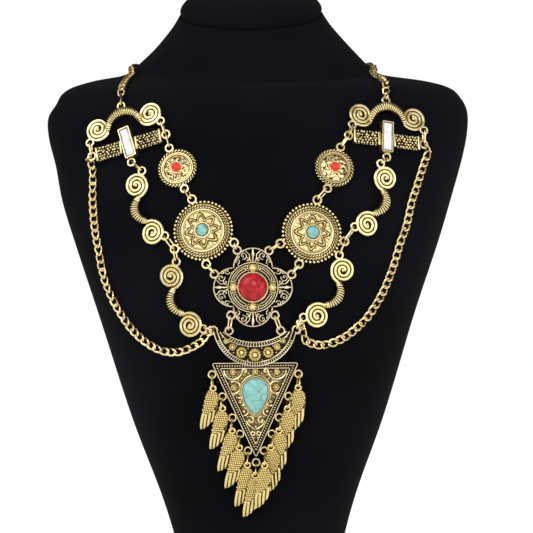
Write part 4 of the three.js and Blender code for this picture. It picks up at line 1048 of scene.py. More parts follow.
# u, v, radius, start, turns of the curls beside each spear
LOBE_CURLS = ((14.2, 4.3, 1.7, 165, 1.1), (11.6, 7.2, 1.35, 200, 0.95), (12.4, 2.5, 1.0, 20, 0.75),
              (13.6, 6.9, 0.8, -40, 0.7))
LOBE_STEM = [(11.4, 0.9, 1.0), (12.9, 1.5, 1.1), (14.8, 1.7, 1.1), (16.4, 3.4, 1.0)]
SPEAR, SPEAR_RADII = (11.2, 12.6, 13.8, 15.0, 16.2, 17.3), np.array([0.3, 0.45, 0.3, 0.75, 0.5, 0.25])
CORNER = [(7.9, 8.0), (8.8, 7.3), (7.2, 8.8), (8.9, 8.6), (9.8, 6.6), (6.5, 9.7)]
HUB_LINE = 8.75


def lobe(work, way):
    """A quarter of the openwork: a bow of wire, a spear between curls and stems, granules and a bar."""
    def own(points):
        return placed(points, 0, 0, way)
    work.wire(own(arc(8.7, -88, 88, 36, 8.9, 0, 1.1)), 0.38, flat=1.1, low=0.2)
    work.wire(own([(u, 0, 1.3) for u in SPEAR]), SPEAR_RADII, flat=0.9, low=0.2)
    for hand in (1, -1):
        for u, v, size, start, turns in LOBE_CURLS:
            u, v, _ = own([(u, hand * v, 0)])[0]
            curl(work, u, v, size, way + hand * start, hand if size > 1.2 else -hand, 0.19, 1.15, turns)
        work.wire(own(smooth(np.array(LOBE_STEM) * [1, hand, 1], 14)), 0.2, sides=6, low=0.2)
    work.beads(own(raised(CORNER, 1.0)), 0.38)
    work.wire(own(arc(10.6, 28, 62, 8, 0, 0, 0.9)), 0.42, sides=6, low=0.0, high=0.1)


def hub_bar(work, way):
    """A closed bar of wire on the hub, between two florets, with a granule at each end."""
    bar = [arc(9.3, way - 24, way + 24, 18, 0, 0, 1.75), arc(8.15, way + 23, way - 23, 18, 0, 0, 1.85)]
    work.wire(np.concatenate(bar), 0.27, closed=True, low=0.0)
    for end in (-29, 29):
        work.beads(raised([polar(HUB_LINE, way + end)], 1.5), 0.5, 1.1, 8)


def hub_floret(work, way):
    """A floret of the hub with its boss, and granules on both sides of it."""
    u, v = polar(HUB_LINE, way)
    floret(work, u, v, 2.0, 1.8, 6)
    work.tint = 1.0
    work.beads([(u, v, 2.2)], 1.15, 0.9, 14, 4, 0.5)
    work.tint = 0.0
    for side in (-15, 15):
        work.beads(raised(polar(np.array([9.5, 7.9]), way + side), 1.6), np.array([0.5, 0.45]), 1.0, 8)


def make_medallion():
    """An openwork quatrefoil of wire, scrolls and spears round a hub with florets, arcs and a bezel."""
    work = Work()
    for way in QUARTERS:
        lobe(work, way)
    work.hoop(11.2, 1.15, 0.28, 0.1, 90)
    work.turned([(0.01, 0, 0), (10.2, 0, 0), (10.5, 0.5, 0.2), (10.2, 1.1, 0.1), (7.4, 1.5, 0.05),
                 (0.01, 1.5, 0)], 80)
    work.hoop(10.15, 1.25, 0.26, 0.0, 90)
    for way in QUARTERS:
        hub_bar(work, way + 45)
    for way in QUARTERS:
        hub_floret(work, way)
    work.turned([(0.01, 1.2, 0), (7.15, 1.2, 0.1), (7.2, 2.6, 0.5), (7.05, 3.9, 1), (6.8, 4.2, 1),
                 (6.5, 4.1, 0.9), (6.35, 3.2, 0.1), (0.01, 3.0, 0)], 72)
    cast_loops(work, "medallion")
    work.moved(PLACES["medallion"]).piece("openwork_medallion", "pale", "medallion")
    rows = dome([(6.1, 2.9), (6.35, 3.4)], 6.35, 3.7, 3.5, 6, 16)
    turned_stone("medallion", rows, 64, "red_dome", "red", "red_cabochon")


# ---- the pendant ----

BEAD_STEP, RUNG_STEP = 1.15, 1.12
TRIANGLE = np.array([(-PENDANT_HALF, PENDANT_TOP), (0, PENDANT_TIP), (PENDANT_HALF, PENDANT_TOP)])


def incentre():
    """The middle and radius of the triangle's inscribed circle, from its side lengths."""
    sides = np.linalg.norm(np.roll(TRIANGLE, -1, 0) - np.roll(TRIANGLE, 1, 0), axis=1)
    a, b = TRIANGLE[1:] - TRIANGLE[0]
    return sides @ TRIANGLE / sides.sum(), abs(a[0] * b[1] - a[1] * b[0]) / sides.sum()


INCENTRE, INRADIUS = incentre()


def triangle_line(inset, round_by=0.9):
    """The triangle drawn in by inset, with its corners cut round, as a closed line of even steps."""
    corners = INCENTRE + (TRIANGLE - INCENTRE) * (INRADIUS - inset) / INRADIUS
    points = []
    for before, here, after in zip(np.roll(corners, 1, 0), corners, np.roll(corners, -1, 0)):
        a, b = (here + unit(other - here) * round_by for other in (before, after))
        points += [a, (a + 2 * here + b) / 4, b]
    return evenly(rejoined(points), 200)[:-1]


def triangle_body(work):
    """The triangle's plate and field, and a channel of beads between two wires round its edge."""
    work.plate(triangle_line(0.1), [(1, 0, 0.2), (1, 1.2, 0.1), (0.98, 1.45, 0)], INCENTRE)
    work.tint = 1.0
    work.plate(triangle_line(3.0, 0.3), [(1, 1.0, 0), (1, 1.62, 0), (0.93, 1.72, 0.3), (0.5, 1.8, 0.32)],
               INCENTRE)
    work.tint = 0.0
    work.wire(raised(triangle_line(0.36), 1.75), 0.36, closed=True, flat=1.3, low=0.1)
    work.wire(raised(triangle_line(2.7, 0.4), 1.85), 0.33, closed=True, flat=1.3, low=0.1)
    channel = triangle_line(1.6, 0.2)
    beads = evenly(rejoined(channel), int(along(rejoined(channel))[-1] / BEAD_STEP))[:-1]
    work.beads(raised(beads, 1.45), 0.5, 1.2, low=0.45)


# u, v of the granules on the right of the triangle's field
FIELD_GRAINS = [(0.85, -19.3), (4.9, 12.3), (3.0, 10.0), (5.3, 9.3), (6.1, 7.6), (1.7, 9.0), (14.2, 9.2),
                (13.2, 6.6), (7.6, 7.0), (12.3, 5.2), (9.6, 0.2), (8.4, -0.9), (1.2, -9.9), (3.6, -9.8),
                (7.3, 0.6)]
# v, radius of those down its middle
AXIS_GRAINS = [(-14.2, 0.62), (-21.5, 0.5), (-23.2, 0.34), (-12.2, 0.4)]


def triangle_side(work, side):
    """One side of the triangle's field: a fan, florets in open rounds, curls, a small round and granules."""
    facing = 0 if side < 0 else 180

    def bow(radius, start, end, steps, u, v, wire):
        work.wire(arc(radius, start, end, steps, u, v, 2.05), wire, sides=6, low=0.2)
    u = side * 9.9 - 0.1
    bow(4.1, 180, 360, 24, u, 11.35, 0.33)
    work.beads(raised(polar(2.75, np.arange(188, 360, 27)) + [u, 11.1], 1.9), 0.42, 1.1, low=0.1)
    floret(work, u, 10.6, 1.5, 1.9, 5)
    u = side * 9.2 - 0.15
    floret(work, u + side * 0.3, 3.6, 1.6, 1.9, 6)
    bow(2.75, facing - 118, facing + 118, 26, u + side * 0.2, 3.6, 0.31)
    bow(1.9, facing - 75, facing + 120, 18, side * 6.6, -2.9, 0.29)
    floret(work, side * 6.8, -2.9, 0.95, 1.9, 5)
    bow(1.75, facing - 100, facing + 95, 18, side * 5.1, -7.4, 0.29)
    work.beads([(side * 5.2, -7.3, 1.9)], 0.8, 1.1, 8, low=0.1)
    curl(work, side * 2.5, -11.3, 1.75, 90, side, 0.3, 2.05, 0.85, 0.3)
    stem = [(side * 4.2, -11.6, 2), (side * 2.9, -13.8, 2), (side * 0.4, -15.4, 2)]
    work.wire(smooth(stem, 12), 0.28, sides=6)
    work.hoop(0.85, 2.0, 0.28, 0.2, 14, 6, side * 1.3, -17.4)
    work.beads(raised(np.array(FIELD_GRAINS) * [side, 1], 1.85), 0.5, 1.1, low=0.2)
    curl(work, side * 4.7, 10.9, 1.15, 0 if side > 0 else 180, side, 0.28, 1.95, 0.9, 0.3)


# v, half width
PEAR = np.array([(8.1, 0), (7.5, 2.4), (6.6, 3.65), (5.5, 4.65), (4.3, 5.3), (2.7, 5.65), (0.6, 5.6),
                 (-1.6, 5.15), (-3.6, 4.3), (-5.4, 3.15), (-6.9, 1.95), (-7.9, 0.9), (-8.3, 0)])
PEAR_MIDDLE = (0, 0.8)


def pear_line(grow):
    """The pear stone's outline, moved outwards by grow along its own normals."""
    line = np.concatenate([PEAR[:, ::-1], PEAR[-2:0:-1, ::-1] * [-1, 1]])
    line = smooth(line, 96, closed=True)
    way = unit(np.roll(line, -1, 0) - np.roll(line, 1, 0))
    return line + grow * np.stack([-way[:, 1], way[:, 0]], -1)


def scaled_pear(share, w):
    """The pear's outline drawn in towards its middle."""
    return raised((pear_line(0) - PEAR_MIDDLE) * share + PEAR_MIDDLE, w)


def pear_bezel(work):
    """A cup with a round lip about the pear stone, and a wire round its foot."""
    lip = [(0.85, 1.4), (0.8, 2.9), (0.55, 3.5), (0.3, 3.45), (0.2, 2.6)]
    polish = np.array([0.1, 0.6, 1, 0.9, 0.1, 0])[:, None]
    work.rings([raised(pear_line(grow), w) for grow, w in lip] + [scaled_pear(0.5, 2.5)], polish)
    work.wire(raised(pear_line(1.15), 2.0), 0.24, sides=6, closed=True, low=0.1)


HORN_LEVEL = 28.8
# share of the way from the outer arc to the inner one, height, polish
CRESCENT_FACE = [(0.0, 1.2, 0), (0.02, 2.0, 0.1), (0.15, 2.35, 0.12), (0.5, 2.6, 0.15), (0.85, 2.35, 0.12),
                 (0.98, 2.0, 0.1), (1.0, 1.2, 0)]
# u, v, size
CRESCENT_FLORETS = [(0, 18.4, 3.05), (-6.0, 19.5, 2.65), (5.9, 19.5, 2.65), (-10.1, 22.0, 1.75),
                    (9.9, 22.0, 1.75), (-12.9, 24.6, 1.35), (12.7, 24.6, 1.35)]
CRESCENT_GRAINS = [(-3.3, 16.0), (3.2, 16.0), (-3.1, 21.4), (3.0, 21.4), (-8.4, 17.4), (8.2, 17.4),
                   (-8.3, 22.4), (8.1, 22.4), (-11.9, 20.6), (11.7, 20.6), (-11.6, 24.1), (11.4, 24.1),
                   (-14.5, 26.4), (14.3, 26.4), (-9.7, 19.4), (9.5, 19.4)]


def crescent_arc(radius, middle):
    """One edge of the crescent, from horn to horn."""
    end = math.degrees(math.asin((HORN_LEVEL - middle) / radius))
    return polar(radius, np.linspace(-180 - end, end, 97)) + [0, middle]


def ladder(work, edge, other, width, most, parts, w):
    """Two wires along an edge of the crescent, each at its part of the ladder's width, which is held to at
    most a share of the way to the other edge, with rungs between them at even steps."""
    across = np.linalg.norm(other - edge, axis=1)
    share = np.clip(width / np.maximum(across, 0.1), 0, most)[:, None]
    lines = [edge + (other - edge) * part * share for part in parts]
    for line in lines:
        work.wire(raised(line, w), 0.2, sides=6, low=0.1)
    count = int(along(lines[0])[-1] / RUNG_STEP)
    for p, q in list(zip(*(evenly(line, count) for line in lines)))[4:-4]:
        work.wire(raised(np.linspace(p, q, 3), w + 0.12), 0.25, sides=5, low=0.2)


def crescent(work):
    """The crescent's domed face with its ladder borders, florets and granules."""
    outer, rim = crescent_arc(18.9, 31.95), crescent_arc(23.9, 48.15)
    across = (rim - outer) * 0.98
    start = outer + (rim - outer) * 0.01
    face = np.stack([raised(start + across * share, w) for share, w, _ in CRESCENT_FACE], 1)
    work.rings(face, np.array([shine for *_, shine in CRESCENT_FACE]))
    ladder(work, outer, rim, 1.75, 0.34, (0.12, 1.1), 2.5)
    ladder(work, rim, outer, 2.2, 0.36, (0.12, 1), 2.6)
    for u, v, size in CRESCENT_FLORETS:
        floret(work, u, v, size, 2.55, 12 if size > 2 else 8)
        if size > 2:
            work.hoop(size * 0.62, 2.55 + 0.2 * size, 0.2, 0.1, 28, 6, u, v)
    work.beads(raised(CRESCENT_GRAINS, 2.5), 0.42)


def make_pendant():
    """A crescent with ladder borders and florets, soldered over a triangle with a beaded channel, scrolls,
    fans and a pear-shaped bezel, and the loops that hold the wings."""
    work = Work()
    triangle_body(work)
    work.tint = 1.0
    for side in (-1, 1):
        triangle_side(work, side)
    floret(work, 0, 10.7, 1.6, 1.9, 7)
    work.beads([(0, v, 1.9) for v, _ in AXIS_GRAINS], [radius for _, radius in AXIS_GRAINS], 1.1, 8)
    pear_bezel(work)
    work.tint = 0.0
    crescent(work)
    cast_loops(work, "pendant")
    work.tint = 1.0
    for u, v in WING_LOOPS:
        cast_loop(work, u, v, EDGE_RADIUS, EDGE_WIRE, EDGE_HEIGHT)
    work.moved(PLACES["pendant"]).piece("crescent_and_triangle", "pale", "pendant")

    stone = Work()
    t = np.array([8, 18, 28, 38, 48, 58, 68, 78, 85]) * RAD
    levels = [(0.93, 2.6), (0.985, 3.0), (1.0, 3.4), *zip(np.cos(t), 3.5 + 2.2 * np.sin(t))]
    stone.rings([scaled_pear(share, w) for share, w in levels])
    stone.moved(PLACES["pendant"]).piece("turquoise_pear", "turquoise", "pear_stone", 60)


# ---- wings ----

WING_OUTLINE = [(-1.3, -1.25), (-2.1, -2.8), (-2.3, -5.2), (-2.15, -8.0), (-2.05, -11.0), (-1.75, -15.0),
                (-1.4, -19.6), (-1.05, -20.9), (-0.45, -20.6), (0.3, -19.9), (1.1, -19.0), (1.9, -17.7),
                (2.6, -15.9), (3.2, -13.4), (3.55, -10.0), (3.6, -6.4), (3.3, -3.6), (2.5, -1.9),
                (1.0, -1.2)]
COVERT_OUTLINE = [(-1.3, -1.5), (-2.2, -3.4), (-2.5, -6.4), (-2.4, -10.0), (-2.1, -13.2), (-1.3, -14.4),
                  (0.3, -12.9), (2.0, -10.7), (3.3, -8.4), (3.85, -6.0), (3.5, -3.8), (2.5, -2.0),
                  (0.8, -1.3)]
COVERT_MIDDLE = np.array([0.6, -6.4])
SCALE_STEP, SCALE_ROW, SCALE_SLANT, SCALE_RADIUS = 0.98, 1.08, 0.25, 0.53
# root u, root v, middle u, middle v, tip u, tip v of each feather
FEATHERS = [(-1.5, -12.9, -1.4, -16.6, -0.9, -20.7), (-0.2, -12.7, 0.0, -16.2, 0.4, -19.9),
            (1.3, -11.4, 1.45, -14.8, 1.6, -18.3), (2.65, -9.6, 2.9, -12.8, 2.75, -16.0)]
WING_WIDER, FEATHER_RADIUS, BARBS = 1.1, 0.64, 8


def ring_wire(work, path, normal, low=0.75):
    """A jump ring's wire, a little rubbed all round."""
    work.wire(path, RING_WIRE, up=normal, closed=True, low=low)


def scales(work, covert):
    """Small scales in slanting rows over the covert field, every other row set off by half a step, out to
    nearly the whole way from the field's middle to its edge."""
    u, v = np.meshgrid(np.arange(-3.1, 4.4, SCALE_STEP), np.arange(-1.2, -14.6, -SCALE_ROW))
    u[::2] += SCALE_STEP / 2
    away = np.stack([u.ravel(), (v + SCALE_SLANT * u).ravel()], -1) - COVERT_MIDDLE
    edge = covert - COVERT_MIDDLE
    bearing = np.arctan2(edge[:, 1], edge[:, 0])
    order = np.argsort(bearing)
    limit = np.interp(np.arctan2(away[:, 1], away[:, 0]), bearing[order], np.hypot(*edge.T)[order],
                      period=TURN)
    share = np.hypot(*away.T) / limit
    inside = share < 0.95
    work.beads(raised((away + COVERT_MIDDLE)[inside], 0.62 - 0.2 * share[inside] ** 2), SCALE_RADIUS, 0.8)


def wing_work(reach):
    """One wing: a thin plate, covert feathers as rows of small scales, long barbed feathers with round
    tips, its loop and the ring that holds the wire at reach."""
    work = Work()
    outline = smooth(np.array(WING_OUTLINE) * [WING_WIDER, 1], 76, closed=True)
    work.plate(outline, [(0.97, 0, 0), (0.99, 0.15, 0.3), (0.97, 0.42, 0.45), (0.9, 0.5, 0.1),
                         (0.8, 0.5, 0.05)], (0.4, -9.5))
    covert = smooth(COVERT_OUTLINE, 48, closed=True)
    work.plate(covert, [(0.98, 0.3, 0.1), (0.97, 0.5, 0.3), (0.8, 0.66, 0.27), (0.45, 0.8, 0.27)],
               COVERT_MIDDLE)
    scales(work, covert)
    share = np.linspace(0, 1, 33)
    barbs = 1 + 0.12 * np.cos(TURN * BARBS * share)
    radius = FEATHER_RADIUS * barbs * (1 - 0.12 * share) * np.sqrt(np.clip(1.02 - share ** 8, 0.05, 1))
    for feather in FEATHERS:
        spine = np.array(feather).reshape(3, 2) * [WING_WIDER, 1]
        work.wire(smooth(raised(spine, [0.45, 0.5, 0.45]), 33), radius, flat=0.8, low=-0.8)
    work.hoop(WING_LOOP, WING_THICK / 2, 0.45, 0.4, 18)
    own = wire_point(UP, UP * WING_THICK / 2, reach, WING_LOOP)
    path, normal, _ = ring_path(reach, own, UP, WING_ROLL, EDGE_RADIUS - 0.4, WING_LOOP - 0.5, 22)
    ring_wire(work, path, normal, 0.7)
    return work


def make_wings():
    for i, (place, reach) in enumerate(wing_places()):
        name = f"wing_{i + 1:02d}"
        wing_work(reach).moved(place).piece("feathered_" + name, "wing", name)


# ---- rings, chains and clasp ----

# half length, half width, lift, wire and leaning by chance of a curb link
LINK_LONG, LINK_WIDE, LINK_LIFT, LINK_WIRE, LINK_LEAN = 2.3, 1.5, 0.62, 0.46, 11
# how far the side chains' links are turned to the front, and how far back the bust has to face for those
# round the neck not to be
SIDE_FACING, NECK_BACK = 1.7, 0.35


def make_rings():
    for side in SIDES:
        for name, a, b, roll in RINGS:
            path, normal, _ = link_path(named_loop(*a, side), named_loop(*b, side), roll)
            work = Work()
            ring_wire(work, path, normal)
            node = f"ring_{name}_{side}"
            work.piece("jump_" + node, "chain", node)


def around_bust(turn, z):
    """The velvet's surface at a turn about the upright axis, 0 in front and positive to the right."""
    out = np.array([math.sin(turn * RAD), -math.cos(turn * RAD), 0])
    return hit(VELVET, np.array([0, AXIS_Y, z]) + FAR * out, -out)


def bust_normal(turn, z):
    across = around_bust(turn + 2, z) - around_bust(turn - 2, z)
    up = around_bust(turn, z + 1.5) - around_bust(turn, z - 1.5)
    return unit(np.cross(across, up))


def chain_path(route):
    """Points half a link apart along a route, raised clear of the bust, and their outward directions."""
    fine = smooth(route, len(route) * 12 + 1)
    normals = np.array([bust_normal(*spot) for spot in fine])
    points = np.array([around_bust(*spot) for spot in fine]) + normals * CHAIN_HEIGHT
    points, normals = evenly(points, 2 * round(along(points)[-1] / CHAIN_PITCH), normals)
    return points, unit(normals)


def curb_links(work, points, normals, rng):
    """Curb links, one at every second point of a line: a cos t along, b sin t across, c sin 2t outwards."""
    t = (np.arange(22) + 0.5) * TURN / 22
    link = np.stack([LINK_LONG * np.cos(t), LINK_WIDE * np.sin(t), LINK_LIFT * np.sin(2 * t)], -1)
    for i in range(1, len(points), 2):
        ahead = unit(points[min(i + 1, len(points) - 1)] - points[i - 1])
        out = unit(normals[i] - ahead * normals[i].dot(ahead))
        out = turned(out, ahead, rng.normal(0, LINK_LEAN))
        place = Place(points[i], ahead, np.cross(out, ahead), out)
        work.wire(place.at(link), LINK_WIRE, up=out, sides=6, closed=True, low=0.6)


def end_ring(work, piece, name, point, normal, roll):
    """The ring that ties a chain's end to a loop."""
    wire = wire_point(PLACES[piece].w, loop_at(piece, name), point)
    path, across, _ = ring_path(wire, point, normal, roll, RING_PAST, 0.4)
    ring_wire(work, path, across)


def side_chain(side, rng):
    """The curb chain from a crossbar down to the ring between the lower S scroll and the pendant's horn."""
    points, normals = chain_path(SIDE_ROUTES[side])
    scroll_end, horn = ("s_scroll_lower_" + side, "end"), ("pendant", "horn_" + side)
    link, across, out = link_path(scroll_end, horn, -SIDES[side] * RING_ROLL)
    tie = (loop_at(*scroll_end) + loop_at(*horn)) / 2 - out * RING_HALF_WIDTH
    line, out = np.concatenate([points, [tie]]), np.concatenate([normals, normals[-1:]])
    line, out = evenly(line, 2 * round(along(line)[-1] / CHAIN_PITCH - 0.5) + 1, out)
    work = Work()
    curb_links(work, line, out - BACKWARDS * SIDE_FACING, rng)
    end_ring(work, "cross_bar_" + side, side, points[0], normals[0], 0)
    ring_wire(work, link, across)
    work.piece("curb_side_chain_" + side, "chain", "side_chain_" + side)


def neck_chain(side, rng):
    """The curb chain from a scroll bar round the neck to the clasp. Its links are turned to the front, but
    not behind the neck."""
    points, normals = chain_path(NECK_ROUTES[side])
    lean = 2 * np.clip(NECK_BACK - normals[:, 1:2], 0, 1)
    work = Work()
    curb_links(work, points, normals - lean * BACKWARDS, rng)
    end_ring(work, "scroll_bar_" + side, "top", points[0], normals[0], 15)
    work.piece("curb_neck_chain_" + side, "chain", "neck_chain_" + side)


def make_chains():
    """Curb chains from the crossbars to the pendant's horns, and from the scroll bars round the neck."""
    rng = np.random.default_rng(21)
    for side in SIDES:
        side_chain(side, rng)
        neck_chain(side, rng)


def make_clasp():
    """A lobster clasp: a long claw of tapering wire round a slot, its lever, and a ring at its root."""
    out = bust_normal(CLASP_TURN, CLASP_LEVEL)
    middle = around_bust(CLASP_TURN, CLASP_LEVEL) + out * CLASP_HEIGHT
    ahead = unit(np.array([1.0, 0, 0]) - out * out[0])
    place = Place(middle, ahead, np.cross(out, ahead), out)
    work = Work()
    t = (np.arange(40) + 0.5) * TURN / 40
    claw = np.stack([0.7 + 3.9 * np.cos(t), 1.35 * np.sin(t) * (1 + 0.15 * np.cos(t)), 0 * t], -1)
    work.wire(claw, 0.62 + 0.22 * np.cos(t), sides=10, closed=True, flat=1.2, low=0.6)
    work.wire(smooth([(-2.0, 1.1, 0.3), (-0.4, 1.7, 0.7), (1.0, 1.75, 0.6)], 10), 0.3, low=0.6)
    work.hoop(0.85, 0.0, 0.36, 0.6, 20, u=-4.1)
    work.moved(place).piece("lobster_clasp", "chain", "clasp")


# ---- the stage ----

CAMERA_PLACE, CAMERA_ROLL = (0.00405, -1.2, 0.15), -0.0192
SENSOR, LENS, NEAR = 36.0, 36 * 1150 / 239.85, 0.05
# what the lights point at, and the way in which reflections see the surroundings brightest
LIT, BRIGHT = (0, 0, 0.16), (-0.22, -0.87, 0.44)


def add_camera():
    """The camera looks level along +Y, rolled a little."""
    data = bpy.data.cameras.new("camera")
    data.sensor_width, data.lens, data.clip_start = SENSOR, LENS, NEAR
    c, s = math.cos(CAMERA_ROLL), math.sin(CAMERA_ROLL)
    turn = Matrix(((c, 0, s), (-s, 0, c), (0, -1, 0))).transposed()
    camera = added("camera", data)
    camera.matrix_world = Matrix.Translation(Vector(CAMERA_PLACE)) @ turn.to_4x4()
    bpy.context.scene.camera = camera


def add_light(name, place, size, watts, color=(1.0, 1.0, 1.0)):
    """A soft square light turned towards the middle of the necklace."""
    data = bpy.data.lights.new(name, "AREA")
    data.shape, data.size, data.energy, data.color = "SQUARE", size, watts, color
    light = added(name, data)
    light.location = place
    light.rotation_euler = (Vector(LIT) - Vector(place)).to_track_quat("-Z", "Y").to_euler()


def add_world(strength, gloss):
    """White all round; reflections see it bright in front, a little above and to the left, and dim
    elsewhere, so that metal has bright crests and dark flanks."""
    world = bpy.data.worlds.new("studio")
    world.use_nodes = True
    nodes, links = world.node_tree.nodes, world.node_tree.links
    nodes.clear()
    output, mix = nodes.new("ShaderNodeOutputWorld"), nodes.new("ShaderNodeMixShader")
    plain, soft = nodes.new("ShaderNodeBackground"), nodes.new("ShaderNodeBackground")
    path, place = nodes.new("ShaderNodeLightPath"), nodes.new("ShaderNodeTexCoord")
    towards, facing = nodes.new("ShaderNodeVectorMath"), nodes.new("ShaderNodeMapRange")
    towards.operation, facing.interpolation_type = "DOT_PRODUCT", "SMOOTHSTEP"
    for socket, value in (
            (plain.inputs["Color"], (1, 1, 1, 1)), (plain.inputs["Strength"], strength),
            (soft.inputs["Strength"], gloss), (towards.inputs[1], BRIGHT),
            *zip(list(facing.inputs)[1:], (0.1, 0.92, 0.1, 1.0))):
        socket.default_value = value
    for start, end in (
            (place.outputs["Generated"], towards.inputs[0]), (towards.outputs["Value"], facing.inputs[0]),
            (facing.outputs[0], soft.inputs["Color"]), (path.outputs["Is Glossy Ray"], mix.inputs[0]),
            (plain.outputs[0], mix.inputs[1]), (soft.outputs[0], mix.inputs[2]),
            (mix.outputs[0], output.inputs[0])):
        links.new(start, end)
    bpy.context.scene.world = world


# ---- sizes, colours and operators ----


def tone(name, default, text):
    return bpy.props.FloatVectorProperty(name=name, description=text, subtype="COLOR", size=3, min=0, max=1,
                                         default=default)


class NecklaceFinish(bpy.types.PropertyGroup):
    """The colours of the necklace and its bust."""
    gold: tone("Gold", (0.79, 0.67, 0.35), "Rubbed crests of the scrolls and discs")
    deep_gold: tone("Deep gold", (0.38, 0.25, 0.085), "Metal of those pieces away from the crests")
    pale_gold: tone("Pale gold", (0.70, 0.60, 0.38), "Rubbed crests of the medallion, crescent and triangle")
    deep_pale: tone("Deep pale gold", (0.27, 0.20, 0.10), "Metal of those pieces away from the crests")
    wing_gold: tone("Wing gold", (0.76, 0.61, 0.25), "Rubbed crests of the wings")
    deep_wing: tone("Deep wing gold", (0.42, 0.28, 0.075), "Metal of the wings away from the crests")
    chain_gold: tone("Chain gold", (0.84, 0.67, 0.33), "Chains and rings")
    deep_chain: tone("Deep chain gold", (0.48, 0.31, 0.10), "Undersides of chains and rings")
    patina: tone("Patina", (0.014, 0.008, 0.0035), "Dark brown in the hollows")
    turquoise: tone("Turquoise", (0.205, 0.475, 0.44), "Ground of the pear stone and the small stones")
    turquoise_vein: tone("Turquoise vein", (0.15, 0.18, 0.14), "Veins of the turquoise")
    red: tone("Red stone", (0.42, 0.006, 0.010), "Ground of the middle stone")
    coral: tone("Coral", (0.72, 0.028, 0.012), "The two bead stones")
    crystal: tone("Crystal", (0.66, 0.65, 0.70), "The two long stones")
    velvet: tone("Velvet", (0.0019, 0.0020, 0.0027), "The pile of the bust")
    sheen: bpy.props.FloatProperty(name="Velvet sheen", description="Strength of the pile's sheen",
                                   default=0.012, min=0, max=1, subtype="FACTOR")


class NecklaceStage(bpy.types.PropertyGroup):
    """The light and the floor."""
    key: bpy.props.FloatProperty(name="Key light", description="Large light from the upper left", default=10,
                                 min=0, unit="POWER")
    fill: bpy.props.FloatProperty(name="Fill light", description="Light from the right", default=5, min=0,
                                  unit="POWER")
    world: bpy.props.FloatProperty(name="Surroundings", description="Strength of the white surroundings",
                                   default=1.04, min=0)
    gloss: bpy.props.FloatProperty(name="Reflected surroundings", default=0.9, min=0,
                                   description="Their strength in reflections")
    floor: bpy.props.FloatProperty(name="Floor size", description="Side of the square floor", default=6.0,
                                   min=1, unit="LENGTH")


PATINA_LIFT = 2.2  # how much lighter the patina is on the wings and chains


class NECKLACE_OT_finishes(bpy.types.Operator):
    """Mixes the finishes that the pieces share"""
    bl_idname, bl_label = "necklace.finishes", "Finishes"

    def execute(self, context):
        c = context.scene.necklace_finish
        gold, deep, patina = rgba(c.gold), rgba(c.deep_gold), rgba(c.patina)
        lifted = rgba(c.patina, PATINA_LIFT)
        MATERIALS.update(
            gold=worn_metal("worn_gold", gold, deep, patina, 0.38),
            antique=worn_metal("dark_gold", gold, deep, patina, 0.4),
            pale=worn_metal("pale_gold", rgba(c.pale_gold), rgba(c.deep_pale), patina, 0.34,
                            warm=(deep, gold)),
            wing=worn_metal("wing_gold", rgba(c.wing_gold), rgba(c.deep_wing), lifted, 0.27),
            chain=worn_metal("chain_gold", rgba(c.chain_gold), rgba(c.deep_chain), lifted, 0.25, 0.2),
            turquoise=veined_stone("turquoise", rgba(c.turquoise), rgba(c.turquoise, 0.8),
                                   rgba(c.turquoise_vein), 215, 0.055),
            red=veined_stone("red_stone", rgba(c.red), rgba(c.red, 0.5), rgba(c.red, 0.25), 240, 0.06, 0.1),
            coral=veined_stone("coral", rgba(c.coral), rgba(c.coral, 0.75), rgba(c.coral, 0.5), 300, 0.03,
                               0.3),
            crystal=cut_crystal("crystal", c.crystal),
            velvet=velvet("velvet", c.velvet, c.sheen),
            floor=plain_floor("floor", (0.98, 0.98, 0.98)))
        return {"FINISHED"}


class NECKLACE_OT_bust(bpy.types.Operator):
    """Makes the velvet neck bust"""
    bl_idname, bl_label = "necklace.bust", "Neck bust"

    def execute(self, context):
        make_bust()
        return {"FINISHED"}


class NECKLACE_OT_scroll_bars(bpy.types.Operator):
    """Makes the two wound arches with their scrolls"""
    bl_idname, bl_label = "necklace.scroll_bars", "Scroll bars"

    def execute(self, context):
        for side in SIDES:
            make_scroll_bar(side)
        return {"FINISHED"}


class NECKLACE_OT_s_scrolls(bpy.types.Operator):
    """Makes the four wound bows with their scrolls"""
    bl_idname, bl_label = "necklace.s_scrolls", "S scrolls"

    def execute(self, context):
        for side, hand in SIDES.items():
            make_s_scroll("s_scroll_upper_" + side, hand)
            make_s_scroll("s_scroll_lower_" + side, hand)
        return {"FINISHED"}


class NECKLACE_OT_cross_bars(bpy.types.Operator):
    """Makes the two nugget crossbars with their crystals"""
    bl_idname, bl_label = "necklace.cross_bars", "Crossbars"

    def execute(self, context):
        for side in SIDES:
            make_cross_bar(side)
        return {"FINISHED"}


class NECKLACE_OT_small_discs(bpy.types.Operator):
    """Makes the two rope-edged discs with their coral beads"""
    bl_idname, bl_label = "necklace.small_discs", "Small discs"

    def execute(self, context):
        make_small_disc("left", 3)
        make_small_disc("right", 4)
        return {"FINISHED"}


class NECKLACE_OT_large_discs(bpy.types.Operator):
    """Makes the two star discs with their small turquoises"""
    bl_idname, bl_label = "necklace.large_discs", "Large discs"

    def execute(self, context):
        make_large_disc("left", 8)
        make_large_disc("right", -5)
        return {"FINISHED"}


class NECKLACE_OT_medallion(bpy.types.Operator):
    """Makes the openwork medallion and its red stone"""
    bl_idname, bl_label = "necklace.medallion", "Medallion"

    def execute(self, context):
        make_medallion()
        return {"FINISHED"}


class NECKLACE_OT_pendant(bpy.types.Operator):
    """Makes the crescent and triangle with the pear-shaped turquoise"""
    bl_idname, bl_label = "necklace.pendant", "Pendant"

    def execute(self, context):
        make_pendant()
        return {"FINISHED"}


class NECKLACE_OT_wings(bpy.types.Operator):
    """Makes the eleven wing charms with their rings"""
    bl_idname, bl_label = "necklace.wings", "Wings"

    def execute(self, context):
        make_wings()
        return {"FINISHED"}


